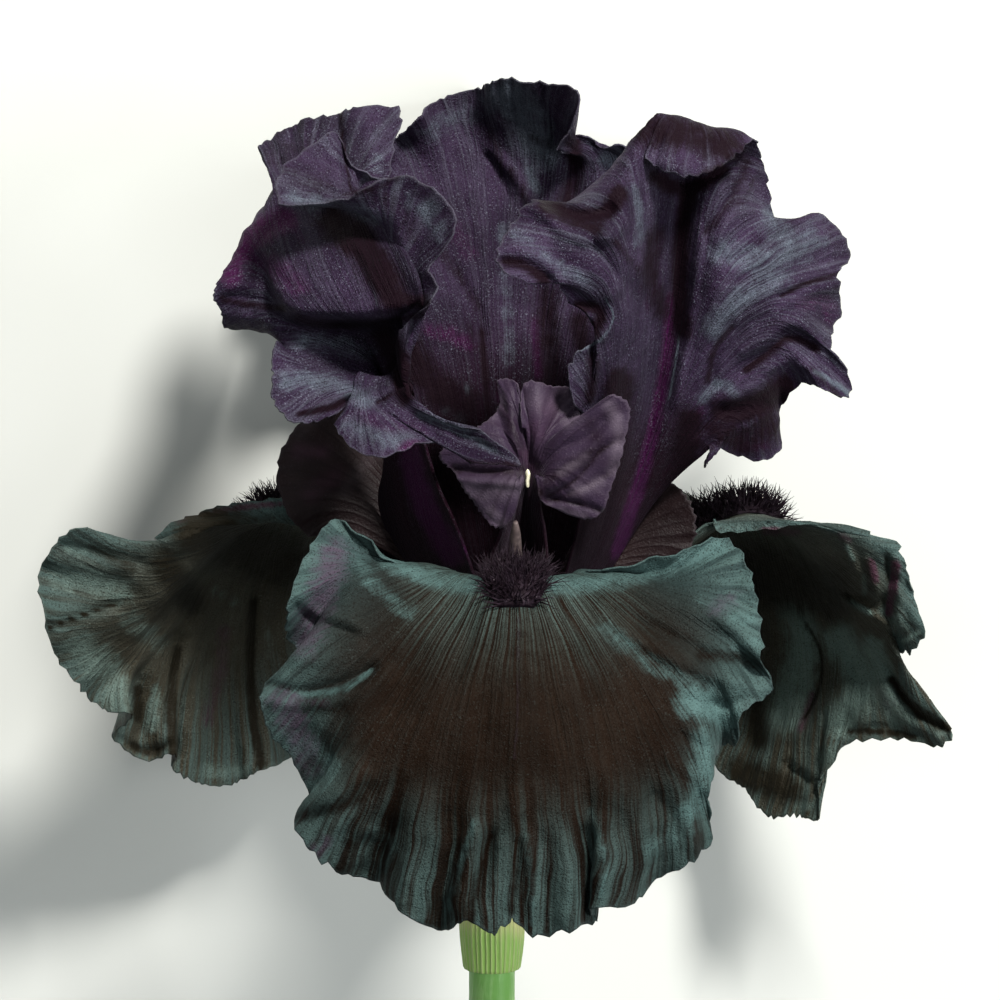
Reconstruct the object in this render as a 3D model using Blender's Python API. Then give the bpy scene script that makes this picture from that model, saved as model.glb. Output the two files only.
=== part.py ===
"""A bearded iris bloom on a short cut stem, lying on its back.

Every length is in millimetres until the last step, which turns them into metres.
Two frames are used. The bloom frame has the bloom's own axis upright: a place in it is a bearing
round that axis (0 towards the viewer, 90 to the viewer's right), a distance out, a distance
sideways and a height above the point where the petals meet. The picture frame is what the viewer
sees: across to the right, up, and near, towards the viewer. The bloom leans a little to the viewer.
"""

import math

import bpy
import numpy as np

# Driving dimensions, in millimetres and degrees
BLOOM_LEAN = 10.0
BLADE = 0.7
GAP = 0.35
TUBE_TOP, TUBE_END, TUBE_RADIUS = -0.75, -21.0, 3.2
OVARY_END, OVARY_RADIUS = -44.5, 3.4
STEM_END, STEM_RADIUS = -95.0, 3.8
SPATHE_TIP, SPATHE_BASE, SPATHE_INSIDE, SPATHE_SWELL = -25.0, -47.5, 4.2, 0.7
STEM_BEND = 3.8
BEARD_WIDTH, BEARD_BODY, BRISTLE = 12.0, 2.0, 4.2
LEFT_CREST_SIZE, RIGHT_CREST_SIZE = 1.0, 0.76

# How the bloom lies: turned about the across axis, then about the up axis, in degrees
LYING_PITCH, LYING_ROLL = -19.44, -0.08

# Where the rows of points stand, from 0 at a petal's base to 1 at its margin
PETAL_KNOTS = (0, 0.2, 0.42, 0.7, 1)

# Each petal's shape: rows of points across its blade, then its margin from the left end to the
# tip and from the tip to the right end. A point is (across, up, near) in the picture frame.
FALL_FRONT = {
    "columns": 14,
    "rows": [
        [
            (-8.5, 18, 29), (-8, 18.5, 37), (0, 17.5, 43), (8, 18.5, 37), (8.5, 18, 29),
        ],
        [
            (-11, 19, 31), (-24.5, 18.5, 45), (-21, -4, 54), (0, -6.5, 57.5), (22, -4, 54),
            (26, 15.5, 45), (11, 19, 31),
        ],
    ],
    "left": [
        (-5.5, 18.5, 32), (-12, 19, 37), (-18, 21, 41), (-22.5, 23.5, 43), (-28, 27.5, 42),
        (-32, 23, 45), (-35, 14.5, 51), (-35.5, 10, 46), (-33.5, 5.5, 40), (-38.5, 2.5, 50),
        (-39, -1.5, 52), (-37.5, -6, 49), (-34, -10.5, 45), (-31, -16.5, 42), (-34.5, -19, 46),
        (-31.5, -23.5, 50), (-27, -27, 45), (-22, -28, 42), (-17.5, -33, 50), (-11.5, -36, 46),
        (-7.5, -34, 53), (-3.5, -36, 50), (-0.5, -33, 54),
    ],
    "right": [
        (3, -36.5, 50), (9, -35, 52), (12.5, -34.5, 46), (11.5, -32, 53), (17.5, -32, 48),
        (21.5, -28.5, 43), (27, -25.5, 47), (30, -22, 44), (29.5, -17, 49), (30, -12.5, 50),
        (32, -7.5, 43), (34.5, -7, 45), (35, -2, 50), (39.5, 1, 47), (38, 6.5, 50),
        (37.5, 13.5, 46), (36, 20, 43), (33, 24.5, 41), (28.5, 23.5, 42), (22.5, 22, 42),
        (14.5, 20, 40), (8.5, 19, 36), (4.5, 18, 32),
    ],
}

FALL_LEFT = {
    "columns": 14,
    "rows": [
        [
            (-29.5, 25, -2.5), (-37, 27.5, -7.5), (-39, 28.5, -18), (-29, 30, -21),
            (-20.5, 27.5, -18),
        ],
        [
            (-32.5, 26.5, -1.5), (-52.5, 25, 1.5), (-63, 8, -12), (-53, 9, -29.5),
            (-40.5, 11.5, -42.5), (-28, 31, -37), (-21.5, 30, -20),
        ],
    ],
    "left": [
        (-33.5, 28.5, -0.5), (-35, 30.5, 1), (-41.5, 30.5, 1), (-47.5, 29.5, 1), (-53.5, 28, 0),
        (-58.5, 24.5, -1), (-59, 21.5, -3), (-60.5, 19, -5), (-62, 21.5, -1), (-65, 24, 1),
        (-70.5, 26, 4), (-75, 24, 2), (-78, 18.5, -1), (-77, 11.5, 2), (-75.5, 4, -5),
        (-71.5, -1, -9), (-68.5, -4.5, -14), (-64, -5.5, -10), (-67.5, -10, -22),
        (-62.5, -14, -30), (-58, -12.5, -26), (-59, -15.5, -35),
    ],
    "right": [
        (-53.5, -18.5, -40), (-48, -18.5, -46), (-43.5, -16, -44), (-39, -14.5, -52),
        (-33, -4.5, -54), (-27, 3.5, -54), (-27.5, 13, -57), (-22.5, 21.5, -52), (-25, 30, -48),
        (-21.5, 36.5, -39), (-23, 37, -30.5), (-21.5, 32, -21),
    ],
}

FALL_RIGHT = {
    "columns": 14,
    "rows": [
        [
            (20.5, 27.5, -18), (29, 30, -21), (39, 28.5, -18), (37, 27.5, -7.5), (29.5, 25, -2.5),
        ],
        [
            (21.5, 30, -20), (28, 31, -37), (40.5, 11.5, -42.5), (51, 9, -28.5), (60, 8, -10.5),
            (52, 25, 2), (32.5, 26.5, -1.5),
        ],
    ],
    "left": [
        (21.5, 32, -21), (23, 37, -30.5), (22.5, 35.5, -39.5), (25, 29, -48.5), (22.5, 20.5, -52),
        (27.5, 12, -57.5), (27, 1.5, -54), (33.5, -7, -52.5), (36, -17, -50), (40, -19.5, -46),
        (44, -24, -41), (47.5, -23.5, -37), (50, -24, -34),
    ],
    "right": [
        (52, -24, -32), (52, -17.5, -30), (53.5, -14.5, -27), (55.5, -11, -25), (63.5, -9.5, -16),
        (71, -10, -7), (72.5, -7.5, -4), (68.5, -4.5, -7), (64.5, -1, -11), (63, 3.5, -14),
        (63, 5, -12), (66, 6, -5), (67, 9.5, 0), (65.5, 15, 0), (64, 19.5, 3), (62.5, 23, 4),
        (60.5, 22.5, 0), (58, 25, 4), (56.5, 23.5, 0), (54, 25, 3), (48, 26.5, 3), (40, 25.5, 1),
        (33, 25.5, 0), (33, 27.5, -0.5),
    ],
}

STANDARD_RIGHT = {
    "columns": 15,
    "rows": [
        [
            (12, 40, 24), (16, 48, 30), (22.5, 49.5, 19), (28, 49, 20), (30.5, 38, 12),
        ],
        [
            (11, 43.5, 28), (12.5, 52, 36), (13, 60.5, 42), (15, 69.5, 46), (19.5, 82.5, 43),
            (26, 87.5, 35), (31, 79, 32), (35.5, 64, 27), (40, 59, 21), (40, 51, 17),
            (31, 36.5, 12),
        ],
    ],
    "left": [
        (10, 45.5, 33), (8, 50, 36), (9.5, 53.5, 37), (13, 56, 35), (15, 60, 35), (14.5, 62, 38),
        (8.5, 61, 42), (6, 65.5, 43), (3.5, 64, 47), (-1.5, 65.5, 49), (-3, 68, 48),
        (-0.5, 73.5, 45), (2, 76.5, 43), (7, 77, 36), (11, 79, 33), (14.5, 80.5, 33), (17, 83, 36),
        (19, 84.5, 41), (19.5, 86, 42), (21, 82.5, 44), (25.5, 80.5, 45),
    ],
    "right": [
        (30, 81.5, 43), (34, 84, 39), (37.5, 87, 33), (39, 84.5, 28), (40.5, 81, 24), (42, 75, 20),
        (46, 75.5, 15), (49, 77, 13), (53, 73.5, 10), (54.5, 70, 7), (52, 67, 13), (53, 61.5, 8),
        (51, 56.5, 14), (52, 53.5, 15), (54.5, 48.5, 10), (53.5, 47, 11), (49, 48.5, 16),
        (46, 49, 14), (43, 44.5, 8), (43.5, 39.5, 5), (40.5, 37, 7), (36, 37.5, 9),
        (31.5, 39.5, 13), (31.5, 35.5, 11),
    ],
}

STANDARD_LEFT = {
    "columns": 19,
    "knots": (0, 0.2, 0.4, 0.56, 0.76, 1),
    "rows": [
        [
            (-17.5, 41, 18), (-23, 54, 20), (-19.5, 55, 22), (-17.5, 54.5, 27), (-18, 42.5, 21),
        ],
        [
            (-21, 44, 22), (-30.5, 55.5, 24), (-34, 60.5, 31), (-21.5, 60.5, 37),
            (-14.5, 61.5, 40), (-18.5, 51.5, 30), (-24, 50.5, 29),
        ],
        [
            (-23.5, 45, 25), (-37, 56, 25), (-40.5, 72, 22), (-28, 77.5, 26), (-20, 72, 35),
            (-17.5, 48.5, 34), (-26, 46.5, 32),
        ],
    ],
    "left": [
        (-26, 46, 27), (-31, 43, 30), (-35, 43, 32), (-38, 46.5, 31), (-38.5, 51, 30),
        (-38, 55, 27), (-36.5, 57, 20), (-43.5, 57.5, 13), (-46.5, 58, 15), (-47, 60.5, 20),
        (-48, 63, 24), (-47, 65.5, 22), (-44.5, 71, 18), (-42.5, 75, 15), (-39.5, 79, 12),
        (-38, 84.5, 14), (-41.5, 87.5, 10), (-39.5, 89.5, 10), (-34.5, 91.5, 13), (-28, 92.5, 16),
        (-26, 93.5, 18),
    ],
    "right": [
        (-18.5, 93, 20), (-19.5, 86, 24), (-20.5, 81, 28), (-26, 84, 31), (-28.5, 88.5, 31),
        (-32.5, 86, 33), (-37, 82, 35), (-37, 76.5, 38), (-33, 77, 40), (-26.5, 77.5, 41),
        (-23, 79, 42), (-18, 80.5, 42), (-12, 78.5, 43), (-9, 73.5, 44), (-11, 69.5, 43),
        (-13.5, 66.5, 41), (-12, 63.5, 43), (-13.5, 61, 44), (-17, 58, 37), (-18.5, 54, 32),
        (-16.5, 47.5, 35), (-10.5, 42.5, 39), (-4.5, 40.5, 42), (0.5, 36, 44), (-2.5, 36, 43),
        (-7, 36.5, 41), (-9.5, 39.5, 38), (-16, 39, 38), (-21, 37, 38), (-26, 39, 36),
        (-28.5, 42.5, 33),
    ],
}

STANDARD_BACK = {
    "columns": 11,
    "rows": [
        [
            (-18, 47, -14), (-13, 59.5, -16), (0, 62.5, -19.5), (12, 59.5, -16), (15, 47, -12),
        ],
        [
            (-22, 52, -17.5), (-28, 67, -21.5), (-20, 83, -27), (-6, 85.5, -28.5),
            (8, 84.5, -23.5), (20, 82.5, -25), (28, 66.5, -20.5), (18, 51, -13.5),
        ],
    ],
    "left": [
        (-23, 54, -19), (-31, 56.5, -21.5), (-35, 60.5, -15.5), (-38, 69, -22.5), (-39, 76, -15),
        (-36, 85, -21.5), (-30, 88, -15), (-24, 87, -20), (-20, 91.5, -25), (-16, 95, -20),
        (-12.5, 98.5, -26), (-6, 100, -24), (-4, 100.5, -18), (-1, 101, -15),
    ],
    "right": [
        (5, 99.5, -10), (10, 97.5, -4), (8.5, 91.5, -5), (7.5, 88, -8), (10.5, 91.5, -16),
        (13, 91, -18), (14.5, 89.5, -20), (17.5, 90, -17), (22, 88, -19), (32, 89, -21),
        (38, 79.5, -12.5), (40, 71, -23), (35, 61.5, -14.5), (28, 54.5, -21), (20, 53.5, -15),
    ],
}

STYLE_ARM = {
    "columns": 8,
    "knots": (0, 0.12, 0.3, 0.6, 1),
    "rows": [
        [
            (0, 32, 30), (0.5, 34.5, 30), (2, 36.5, 29), (3.5, 34.5, 30), (3.5, 32, 30),
        ],
    ],
    "left": [
        (1, 31.5, 31), (-2.5, 26, 29), (-6, 29, 28), (-9.5, 34.5, 29), (-12, 37.5, 29),
        (-9, 40.5, 31), (-5.5, 42.5, 31), (-2.5, 45.5, 30), (-2.5, 49.5, 29), (0, 49, 31),
        (1, 41.5, 33),
    ],
    "right": [
        (1.5, 49, 32), (5.5, 48.5, 31), (9.5, 48, 28), (10, 46, 28.5), (10.5, 42.5, 31),
        (13, 45.5, 35), (15, 47, 37), (17.5, 45.5, 36), (17, 39, 34), (15, 32, 31),
        (13.5, 28.5, 30), (11, 27.5, 29), (4.5, 30, 30), (3.5, 31.5, 31),
    ],
}


# Frames and curves


def in_picture(x, away, height):
    """A place right of, away from and up the bloom's axis, in the picture frame."""
    lean = math.radians(BLOOM_LEAN)
    return np.array([
        x,
        away * math.sin(lean) + height * math.cos(lean),
        height * math.sin(lean) - away * math.cos(lean),
    ])


def in_bloom(bearing, out, sideways, height):
    """A place given round the bloom's axis, in the picture frame."""
    turn = math.radians(bearing)
    x = out * math.sin(turn) + sideways * math.cos(turn)
    away = sideways * math.sin(turn) - out * math.cos(turn)
    return in_picture(x, away, height)


def curve(points, places, knots=None):
    """A smooth curve through the points, read at places from 0 to 1."""
    points = np.asarray(points, float)
    if knots is None:
        steps = np.sqrt(np.linalg.norm(np.diff(points, axis=0), axis=1))
        knots = np.concatenate([[0], np.cumsum(steps)]) / steps.sum()
    knots = np.asarray(knots, float)
    spans = np.diff(knots)
    slopes = np.diff(points, axis=0) / spans[:, None]
    pulls = np.empty_like(points)
    mixed = slopes[:-1] * spans[1:, None] + slopes[1:] * spans[:-1, None]
    pulls[1:-1] = mixed / (spans[1:] + spans[:-1])[:, None]
    pulls[0] = 1.5 * slopes[0] - 0.5 * pulls[1]
    pulls[-1] = 1.5 * slopes[-1] - 0.5 * pulls[-2]
    first = np.clip(np.searchsorted(knots, places, side="right") - 1, 0, len(points) - 2)
    span = spans[first][:, None]
    u = (np.asarray(places)[:, None] - knots[first][:, None]) / span
    return (
        (2 * u**3 - 3 * u**2 + 1) * points[first]
        + (u**3 - 2 * u**2 + u) * span * pulls[first]
        + (3 * u**2 - 2 * u**3) * points[first + 1]
        + (u**3 - u**2) * span * pulls[first + 1]
    )


# Petal surfaces


def claw_row(bearing, out, height, half, edge_in, edge_up):
    """Three points across a petal's claw, from the viewer's left, its edges drawn in and up."""
    side = math.copysign(half, math.cos(math.radians(bearing)))
    return [
        in_bloom(bearing, out - edge_in, -side, height + edge_up),
        in_bloom(bearing, out, 0, height),
        in_bloom(bearing, out - edge_in, side, height + edge_up),
    ]


def fall_claw(bearing):
    return [claw_row(bearing, 5.2, 0, 3, 0, 0.3), claw_row(bearing, 21, 12, 6, 1, 2.5)]


def standard_claw(bearing):
    return [claw_row(bearing, 4.2, 0, 2.2, 0, 0), claw_row(bearing, 17.5, 28, 11.5, 0, 0)]


def style_base(bearing):
    return [
        claw_row(bearing, 1.5, 0, 1.2, 0, 0),
        claw_row(bearing, 4.2, 8, 2, 0, 0),
        claw_row(bearing, 10.5, 20.5, 5, -1.5, -4),
    ]


def side_style(bearing, size):
    """A side style arm: an arched row at its end, then the even pair of crests round its notch."""
    crest = [(28, 0, 42), (28.5, 3, 50), (28, 7, 50), (30, 11, 45), (33, 15, 42)]
    crest += [(35, 17, 36), (34, 17, 30), (31, 15, 25), (26, 11, 24)]
    end = [(23, 10, 24), (23, 7, 33), (24, 0, 38)]

    def side(points, sign):
        return [in_bloom(bearing, size * out, sign * size * w, size * up) for out, w, up in points]

    left = math.copysign(1, -math.cos(math.radians(bearing)))
    return {
        "columns": STYLE_ARM["columns"],
        "knots": STYLE_ARM["knots"],
        "rows": [side(end, left) + side(end[1::-1], -left)],
        "left": side(crest[::-1], left),
        "right": side(crest[1:], -left),
    }


def petal_rows(petal, claw, place):
    """The petal's rows as points at places from -1 on the left to 1 on the right."""
    even = (place + 1) / 2
    rows = claw + petal["rows"]
    lines = [curve(row, even, np.linspace(0, 1, len(row))) for row in rows]
    left_line = curve(petal["left"], np.clip(place + 1, 0, 1))
    right_line = curve([petal["left"][-1]] + petal["right"], np.clip(place, 0, 1))
    return np.array(lines + [np.where(place[:, None] <= 0, left_line, right_line)])


def petal_points(petal, claw, place, reach):
    """Points at every reach, from 0 at the base to 1 at the margin, for every place across."""
    rows = petal_rows(petal, claw, place)
    knots = petal.get("knots", PETAL_KNOTS)
    points = curve(rows.reshape(len(knots), -1), reach, knots)
    return points.reshape(len(reach), len(place), 3)


# Closed solids


def strip_triangles(below, above):
    """Triangles between two rows of point numbers, the upper one as fine or twice as fine."""
    triangles = []
    ratio = (len(above) - 1) // (len(below) - 1)
    for i in range(len(below) - 1):
        a, b = below[i], below[i + 1]
        c, d = above[ratio * i], above[ratio * (i + 1)]
        if ratio == 1:
            triangles += [(a, b, d), (a, d, c)]
        else:
            middle = above[2 * i + 1]
            triangles += [(a, middle, c), (a, b, middle), (b, d, middle)]
    return triangles


def point_normals(points, triangles):
    corners = points[triangles]
    faces = np.cross(corners[:, 1] - corners[:, 0], corners[:, 2] - corners[:, 0])
    normals = np.zeros_like(points)
    for corner in range(3):
        np.add.at(normals, triangles[:, corner], faces)
    return normals / np.linalg.norm(normals, axis=1)[:, None]


def rim_triangles(triangles, count):
    """The band that closes a sheet's open edge to its copy, count points further on."""
    edges = {(t[i], t[(i + 1) % 3]) for t in triangles for i in range(3)}
    band = []
    for a, b in edges:
        if (b, a) not in edges:
            band += [(b, a, a + count), (b, a + count, b + count)]
    return band


def thickened(rows, thickness):
    """A closed sheet of even thickness about rows of points, each as fine as the last or twice."""
    numbers, start = [], 0
    for row in rows:
        numbers.append(list(range(start, start + len(row))))
        start += len(row)
    front = []
    for below, above in zip(numbers, numbers[1:]):
        front += strip_triangles(below, above)
    middle = np.concatenate(rows)
    offset = point_normals(middle, np.array(front)) * thickness / 2
    back = [(c + start, b + start, a + start) for a, b, c in front]
    points = np.concatenate([middle + offset, middle - offset])
    return points, front + back + rim_triangles(front, start)


def petal_solid(petal, claw):
    """A petal's thin closed body, with few columns in its claw and four times as many at its margin."""
    columns = petal["columns"]
    levels = [(0, 1), (0.1, 1), (0.2, 1), (0.3, 2), (0.4, 2), (0.5, 2)]
    levels += [(0.6, 4), (0.7, 4), (0.8, 4), (0.9, 4), (1, 4)]
    rows = []
    for reach, fineness in levels:
        place = np.linspace(-1, 1, columns * fineness + 1)
        rows.append(petal_points(petal, claw, place, np.array([reach]))[0])
    return thickened(rows, BLADE)


def swept(path, radii, sides, lobe=0.0):
    """A round bar along a path; lobe swells it into three ribs."""
    path = np.asarray(path, float)
    ways = np.gradient(path, axis=0)
    ways /= np.linalg.norm(ways, axis=1)[:, None]
    first = np.cross(ways, [1, 0, 0])
    first /= np.linalg.norm(first, axis=1)[:, None]
    second = np.cross(ways, first)
    angles = np.arange(sides) * 2 * math.pi / sides
    swell = 1 + lobe * np.cos(3 * angles)
    points = [path[0]]
    for centre, radius, one, two in zip(path, radii, first, second):
        for angle, factor in zip(angles, swell):
            points.append(centre + radius * factor * (math.cos(angle) * one + math.sin(angle) * two))
    points.append(path[-1])
    triangles = []
    for i in range(sides):
        j = (i + 1) % sides
        triangles.append((0, 1 + j, 1 + i))
        for ring in range(len(path) - 1):
            a, b = 1 + ring * sides + i, 1 + ring * sides + j
            triangles += [(a, b, b + sides), (a, b + sides, a + sides)]
        last = 1 + (len(path) - 1) * sides
        triangles.append((last + i, last + j, len(points) - 1))
    return np.array(points), triangles


def beard_solid(petal, claw, seed):
    """A low cushion on the haft, every patch of its top drawn out into one bristle."""
    seeded = np.random.default_rng(seed)
    reach = np.linspace(0.2, 0.5, 16)
    fine = np.linspace(-1, 1, 161)
    step = 0.002
    surface = petal_points(petal, claw, fine, reach)
    ahead = petal_points(petal, claw, fine, reach + step)
    across = np.gradient(surface, axis=1)
    normals = np.cross(ahead - surface, across)
    normals /= np.linalg.norm(normals, axis=2)[:, :, None]
    normals *= math.copysign(1, (normals @ in_picture(0, 0, 1)).mean())
    columns = 8
    bottom, top = [], []
    for row, (line, normal) in enumerate(zip(surface, normals)):
        along = np.concatenate([[0], np.cumsum(np.linalg.norm(np.diff(line, axis=0), axis=1))])
        along -= along[len(fine) // 2]
        end = math.sin(math.pi * (row + 0.8) / (len(reach) + 0.6)) ** 0.4
        wanted = np.linspace(-1, 1, columns + 1) * BEARD_WIDTH / 2 * end
        spot = np.stack([np.interp(wanted, along, line[:, axis]) for axis in range(3)], axis=1)
        lift = np.stack([np.interp(wanted, along, normal[:, axis]) for axis in range(3)], axis=1)
        lift /= np.linalg.norm(lift, axis=1)[:, None]
        low = BLADE / 2 + GAP
        dome = 0.5 + BEARD_BODY * end * (1 - np.linspace(-1, 1, columns + 1) ** 2)
        bottom.append(spot + lift * low)
        top.append(spot + lift * (low + dome[:, None]))
    bottom, top = np.array(bottom), np.array(top)
    wide = columns + 1
    count = bottom.shape[0] * wide
    points = list(top.reshape(-1, 3)) + list(bottom.reshape(-1, 3))
    triangles, plain = [], []
    for row in range(bottom.shape[0] - 1):
        for column in range(columns):
            a = row * wide + column
            ring = (a, a + 1, a + 1 + wide, a + wide)
            plain += [(ring[0], ring[1], ring[2]), (ring[0], ring[2], ring[3])]
            corners = np.array([points[i] for i in ring])
            rise = corners.mean(axis=0) - np.array([points[i + count] for i in ring]).mean(axis=0)
            forward = corners[2] - corners[1]
            sideways = corners[1] - corners[0]
            lean = rise / np.linalg.norm(rise) + 0.35 * forward / np.linalg.norm(forward)
            lean += (2 * column / (columns - 1) - 1) * 0.8 * sideways / np.linalg.norm(sideways)
            lean += seeded.uniform(-0.25, 0.25, 3)
            points.append(corners.mean(axis=0) + lean * BRISTLE * seeded.uniform(0.7, 1.05))
            tip = len(points) - 1
            triangles += [(ring[i], ring[(i + 1) % 4], tip) for i in range(4)]
    triangles += [(c + count, b + count, a + count) for a, b, c in plain]
    triangles += rim_triangles(plain, count)
    return np.array(points), triangles


# The parts below and inside the petals


def stem_line(heights):
    """The tube, ovary and stem bend a little to the viewer's left as they go down."""
    share = np.clip(-np.asarray(heights, float) / 42, 0, 1)
    bend = -STEM_BEND * share**2 * (3 - 2 * share)
    return np.array([in_picture(x, 0, height) for x, height in zip(bend, heights)])


def tube_solid():
    heights = [TUBE_TOP, -2.5, -6, -11, -16, TUBE_END]
    radii = [6.0, 5.0, 3.9, 3.3, TUBE_RADIUS, TUBE_RADIUS + 0.1]
    return swept(stem_line(heights), radii, 18)


def ovary_solid():
    top = TUBE_END - GAP
    shares = np.linspace(0, 1, 8)
    heights = top + (OVARY_END - top) * shares
    radii = OVARY_RADIUS * (0.86 + 0.18 * np.sin(math.pi * shares))
    return swept(stem_line(heights), radii, 18, lobe=0.06)


def stem_solid():
    heights = np.linspace(OVARY_END - GAP, STEM_END, 7)
    return swept(stem_line(heights), np.full(7, STEM_RADIUS), 18)


def spathe_solid(middle, half, tip, columns):
    """A thin valve wrapped round the ovary, drawn to a point at its tip."""
    rows = []
    for share in np.linspace(0, 1, 9):
        row = []
        for place in np.linspace(-1, 1, columns):
            height = SPATHE_BASE + (tip - 9 * abs(place) ** 1.5 - SPATHE_BASE) * share
            width = half * (1 - 0.55 * share**3)
            angle = math.radians(middle + width * place)
            radius = SPATHE_INSIDE + BLADE / 2 + SPATHE_SWELL * math.sin(math.pi * share)
            centre = stem_line([height])[0]
            spread = in_bloom(0, radius * math.cos(angle), radius * math.sin(angle), 0)
            row.append(centre + spread)
        rows.append(np.array(row))
    return thickened(rows, BLADE)


def stamen_solid(bearing):
    """A filament from the tube's mouth, thickened into a long anther under the style arm."""
    places = [(3.2, 0.1), (6.5, 6), (10.5, 12.5), (14.5, 18.5), (16, 21)]
    places += [(17.5, 23.5), (20.5, 28), (22.3, 30.5), (23, 31.5)]
    path = [in_bloom(bearing, out, 0, height) for out, height in places]
    radii = [0.55, 0.5, 0.45, 0.45, 0.8, 1.15, 1.15, 0.9, 0.35]
    return swept(path, radii, 8)


# Nodes


def make_material(name, colour, roughness):
    material = bpy.data.materials.new(name)
    material.use_nodes = True
    shader = material.node_tree.nodes["Principled BSDF"]
    shader.inputs["Base Color"].default_value = (*colour, 1)
    shader.inputs["Roughness"].default_value = roughness
    return material


def make_node(name, solid, colour, roughness):
    points, triangles = solid
    corners = points[np.array(triangles)]
    if np.linalg.det(corners).sum() < 0:
        triangles = [(c, b, a) for a, b, c in triangles]
    mesh = bpy.data.meshes.new(name)
    mesh.from_pydata(points.tolist(), [], triangles)
    node = bpy.data.objects.new(name, mesh)
    bpy.context.collection.objects.link(node)
    mesh.materials.append(make_material(name, colour, roughness))
    return node


def lay_down(nodes):
    """Turns the bloom onto its back, sets it on the ground about the middle, and makes it metres."""
    pitch, roll = math.radians(LYING_PITCH), math.radians(LYING_ROLL)
    about_x = np.array([
        [1, 0, 0],
        [0, math.cos(pitch), -math.sin(pitch)],
        [0, math.sin(pitch), math.cos(pitch)],
    ])
    about_y = np.array([
        [math.cos(roll), 0, math.sin(roll)],
        [0, 1, 0],
        [-math.sin(roll), 0, math.cos(roll)],
    ])
    laid = []
    for node in nodes:
        points = np.array([vertex.co for vertex in node.data.vertices])
        laid.append(points @ (about_y @ about_x).T)
    every = np.concatenate(laid)
    low, high = every.min(axis=0), every.max(axis=0)
    ground = np.array([(low[0] + high[0]) / 2, (low[1] + high[1]) / 2, low[2]])
    for node, points in zip(nodes, laid):
        node.data.vertices.foreach_set("co", ((points - ground) / 1000).ravel())
        node.data.update()


STANDARD_COLOUR = (0.035, 0.02, 0.06)
FALL_COLOUR = (0.018, 0.022, 0.026)
BEARD_COLOUR = (0.012, 0.006, 0.02)
STYLE_COLOUR = (0.16, 0.12, 0.18)
STAMEN_COLOUR = (0.62, 0.56, 0.48)
GREEN = (0.16, 0.32, 0.10)
TUBE_COLOUR = (0.12, 0.14, 0.08)
PAPERY = (0.50, 0.42, 0.24)


def build():
    for thing in list(bpy.data.objects):
        bpy.data.objects.remove(thing)
    nodes = []
    for name, petal, bearing in (
        ("standard_left", STANDARD_LEFT, -60),
        ("standard_right", STANDARD_RIGHT, 60),
        ("standard_back", STANDARD_BACK, 180),
    ):
        solid = petal_solid(petal, standard_claw(bearing))
        nodes.append(make_node(name, solid, STANDARD_COLOUR, 0.7))
    for side, petal, style, bearing in (
        ("front", FALL_FRONT, STYLE_ARM, 0),
        ("left", FALL_LEFT, side_style(-120, LEFT_CREST_SIZE), -120),
        ("right", FALL_RIGHT, side_style(120, RIGHT_CREST_SIZE), 120),
    ):
        claw = fall_claw(bearing)
        nodes.append(make_node("fall_" + side, petal_solid(petal, claw), FALL_COLOUR, 0.7))
        beard = beard_solid(petal, claw, 4 + bearing // 120)
        nodes.append(make_node("beard_" + side, beard, BEARD_COLOUR, 0.8))
        arm = petal_solid(style, style_base(bearing))
        nodes.append(make_node("style_arm_" + side, arm, STYLE_COLOUR, 0.6))
        nodes.append(make_node("stamen_" + side, stamen_solid(bearing), STAMEN_COLOUR, 0.6))
    nodes.append(make_node("perianth_tube", tube_solid(), TUBE_COLOUR, 0.6))
    nodes.append(make_node("ovary", ovary_solid(), GREEN, 0.5))
    nodes.append(make_node("stem", stem_solid(), GREEN, 0.5))
    nodes.append(make_node("spathe_outer", spathe_solid(-20, 112, SPATHE_TIP, 13), PAPERY, 0.8))
    nodes.append(make_node("spathe_inner", spathe_solid(160, 58, SPATHE_TIP - 1.5, 8), PAPERY, 0.8))
    lay_down(nodes)


build()
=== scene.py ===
# %% [markdown]
# # A bearded iris bloom, dressed for its close-up
#
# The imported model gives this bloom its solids: petals, beards, style arms, stamens and stem.
# Here each of them gets the fine surface, the ruffled rim, the velvet and the bristles that a
# real bloom shows from a hand's breadth away. We begin by loading that model. Nothing in it is
# moved: every finer piece is laid exactly where its solid lies.

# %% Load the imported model
import math

import bmesh
import bpy
import numpy as np
from mathutils import Matrix, Vector


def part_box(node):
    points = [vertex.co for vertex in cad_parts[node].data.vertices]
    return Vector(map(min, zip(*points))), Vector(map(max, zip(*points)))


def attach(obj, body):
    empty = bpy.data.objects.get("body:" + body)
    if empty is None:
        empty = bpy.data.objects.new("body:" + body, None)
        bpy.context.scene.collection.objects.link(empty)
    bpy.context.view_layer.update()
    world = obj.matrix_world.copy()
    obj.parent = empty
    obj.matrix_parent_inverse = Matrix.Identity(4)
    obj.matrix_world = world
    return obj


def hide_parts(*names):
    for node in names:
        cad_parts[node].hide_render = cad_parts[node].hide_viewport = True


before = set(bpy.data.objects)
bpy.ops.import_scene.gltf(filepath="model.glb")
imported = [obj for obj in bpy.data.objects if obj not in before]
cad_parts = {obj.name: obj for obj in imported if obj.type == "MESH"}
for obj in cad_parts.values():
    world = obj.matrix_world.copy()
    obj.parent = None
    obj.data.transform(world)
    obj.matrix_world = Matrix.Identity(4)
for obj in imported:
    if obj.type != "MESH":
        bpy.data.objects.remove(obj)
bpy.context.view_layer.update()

# %% [markdown]
# ## Two ways to say where
#
# A bloom is drawn most easily in two frames, both in millimetres. The picture frame is what a
# viewer sees: across to the right, up, and near. The bloom frame goes round the bloom's own
# axis: a bearing (0 towards the viewer), a distance out, a distance sideways and a height. The
# axis leans a little to the viewer, so one small formula turns the second into the first.

# %% The two frames
BLOOM_LEAN = math.radians(10.0)


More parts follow.
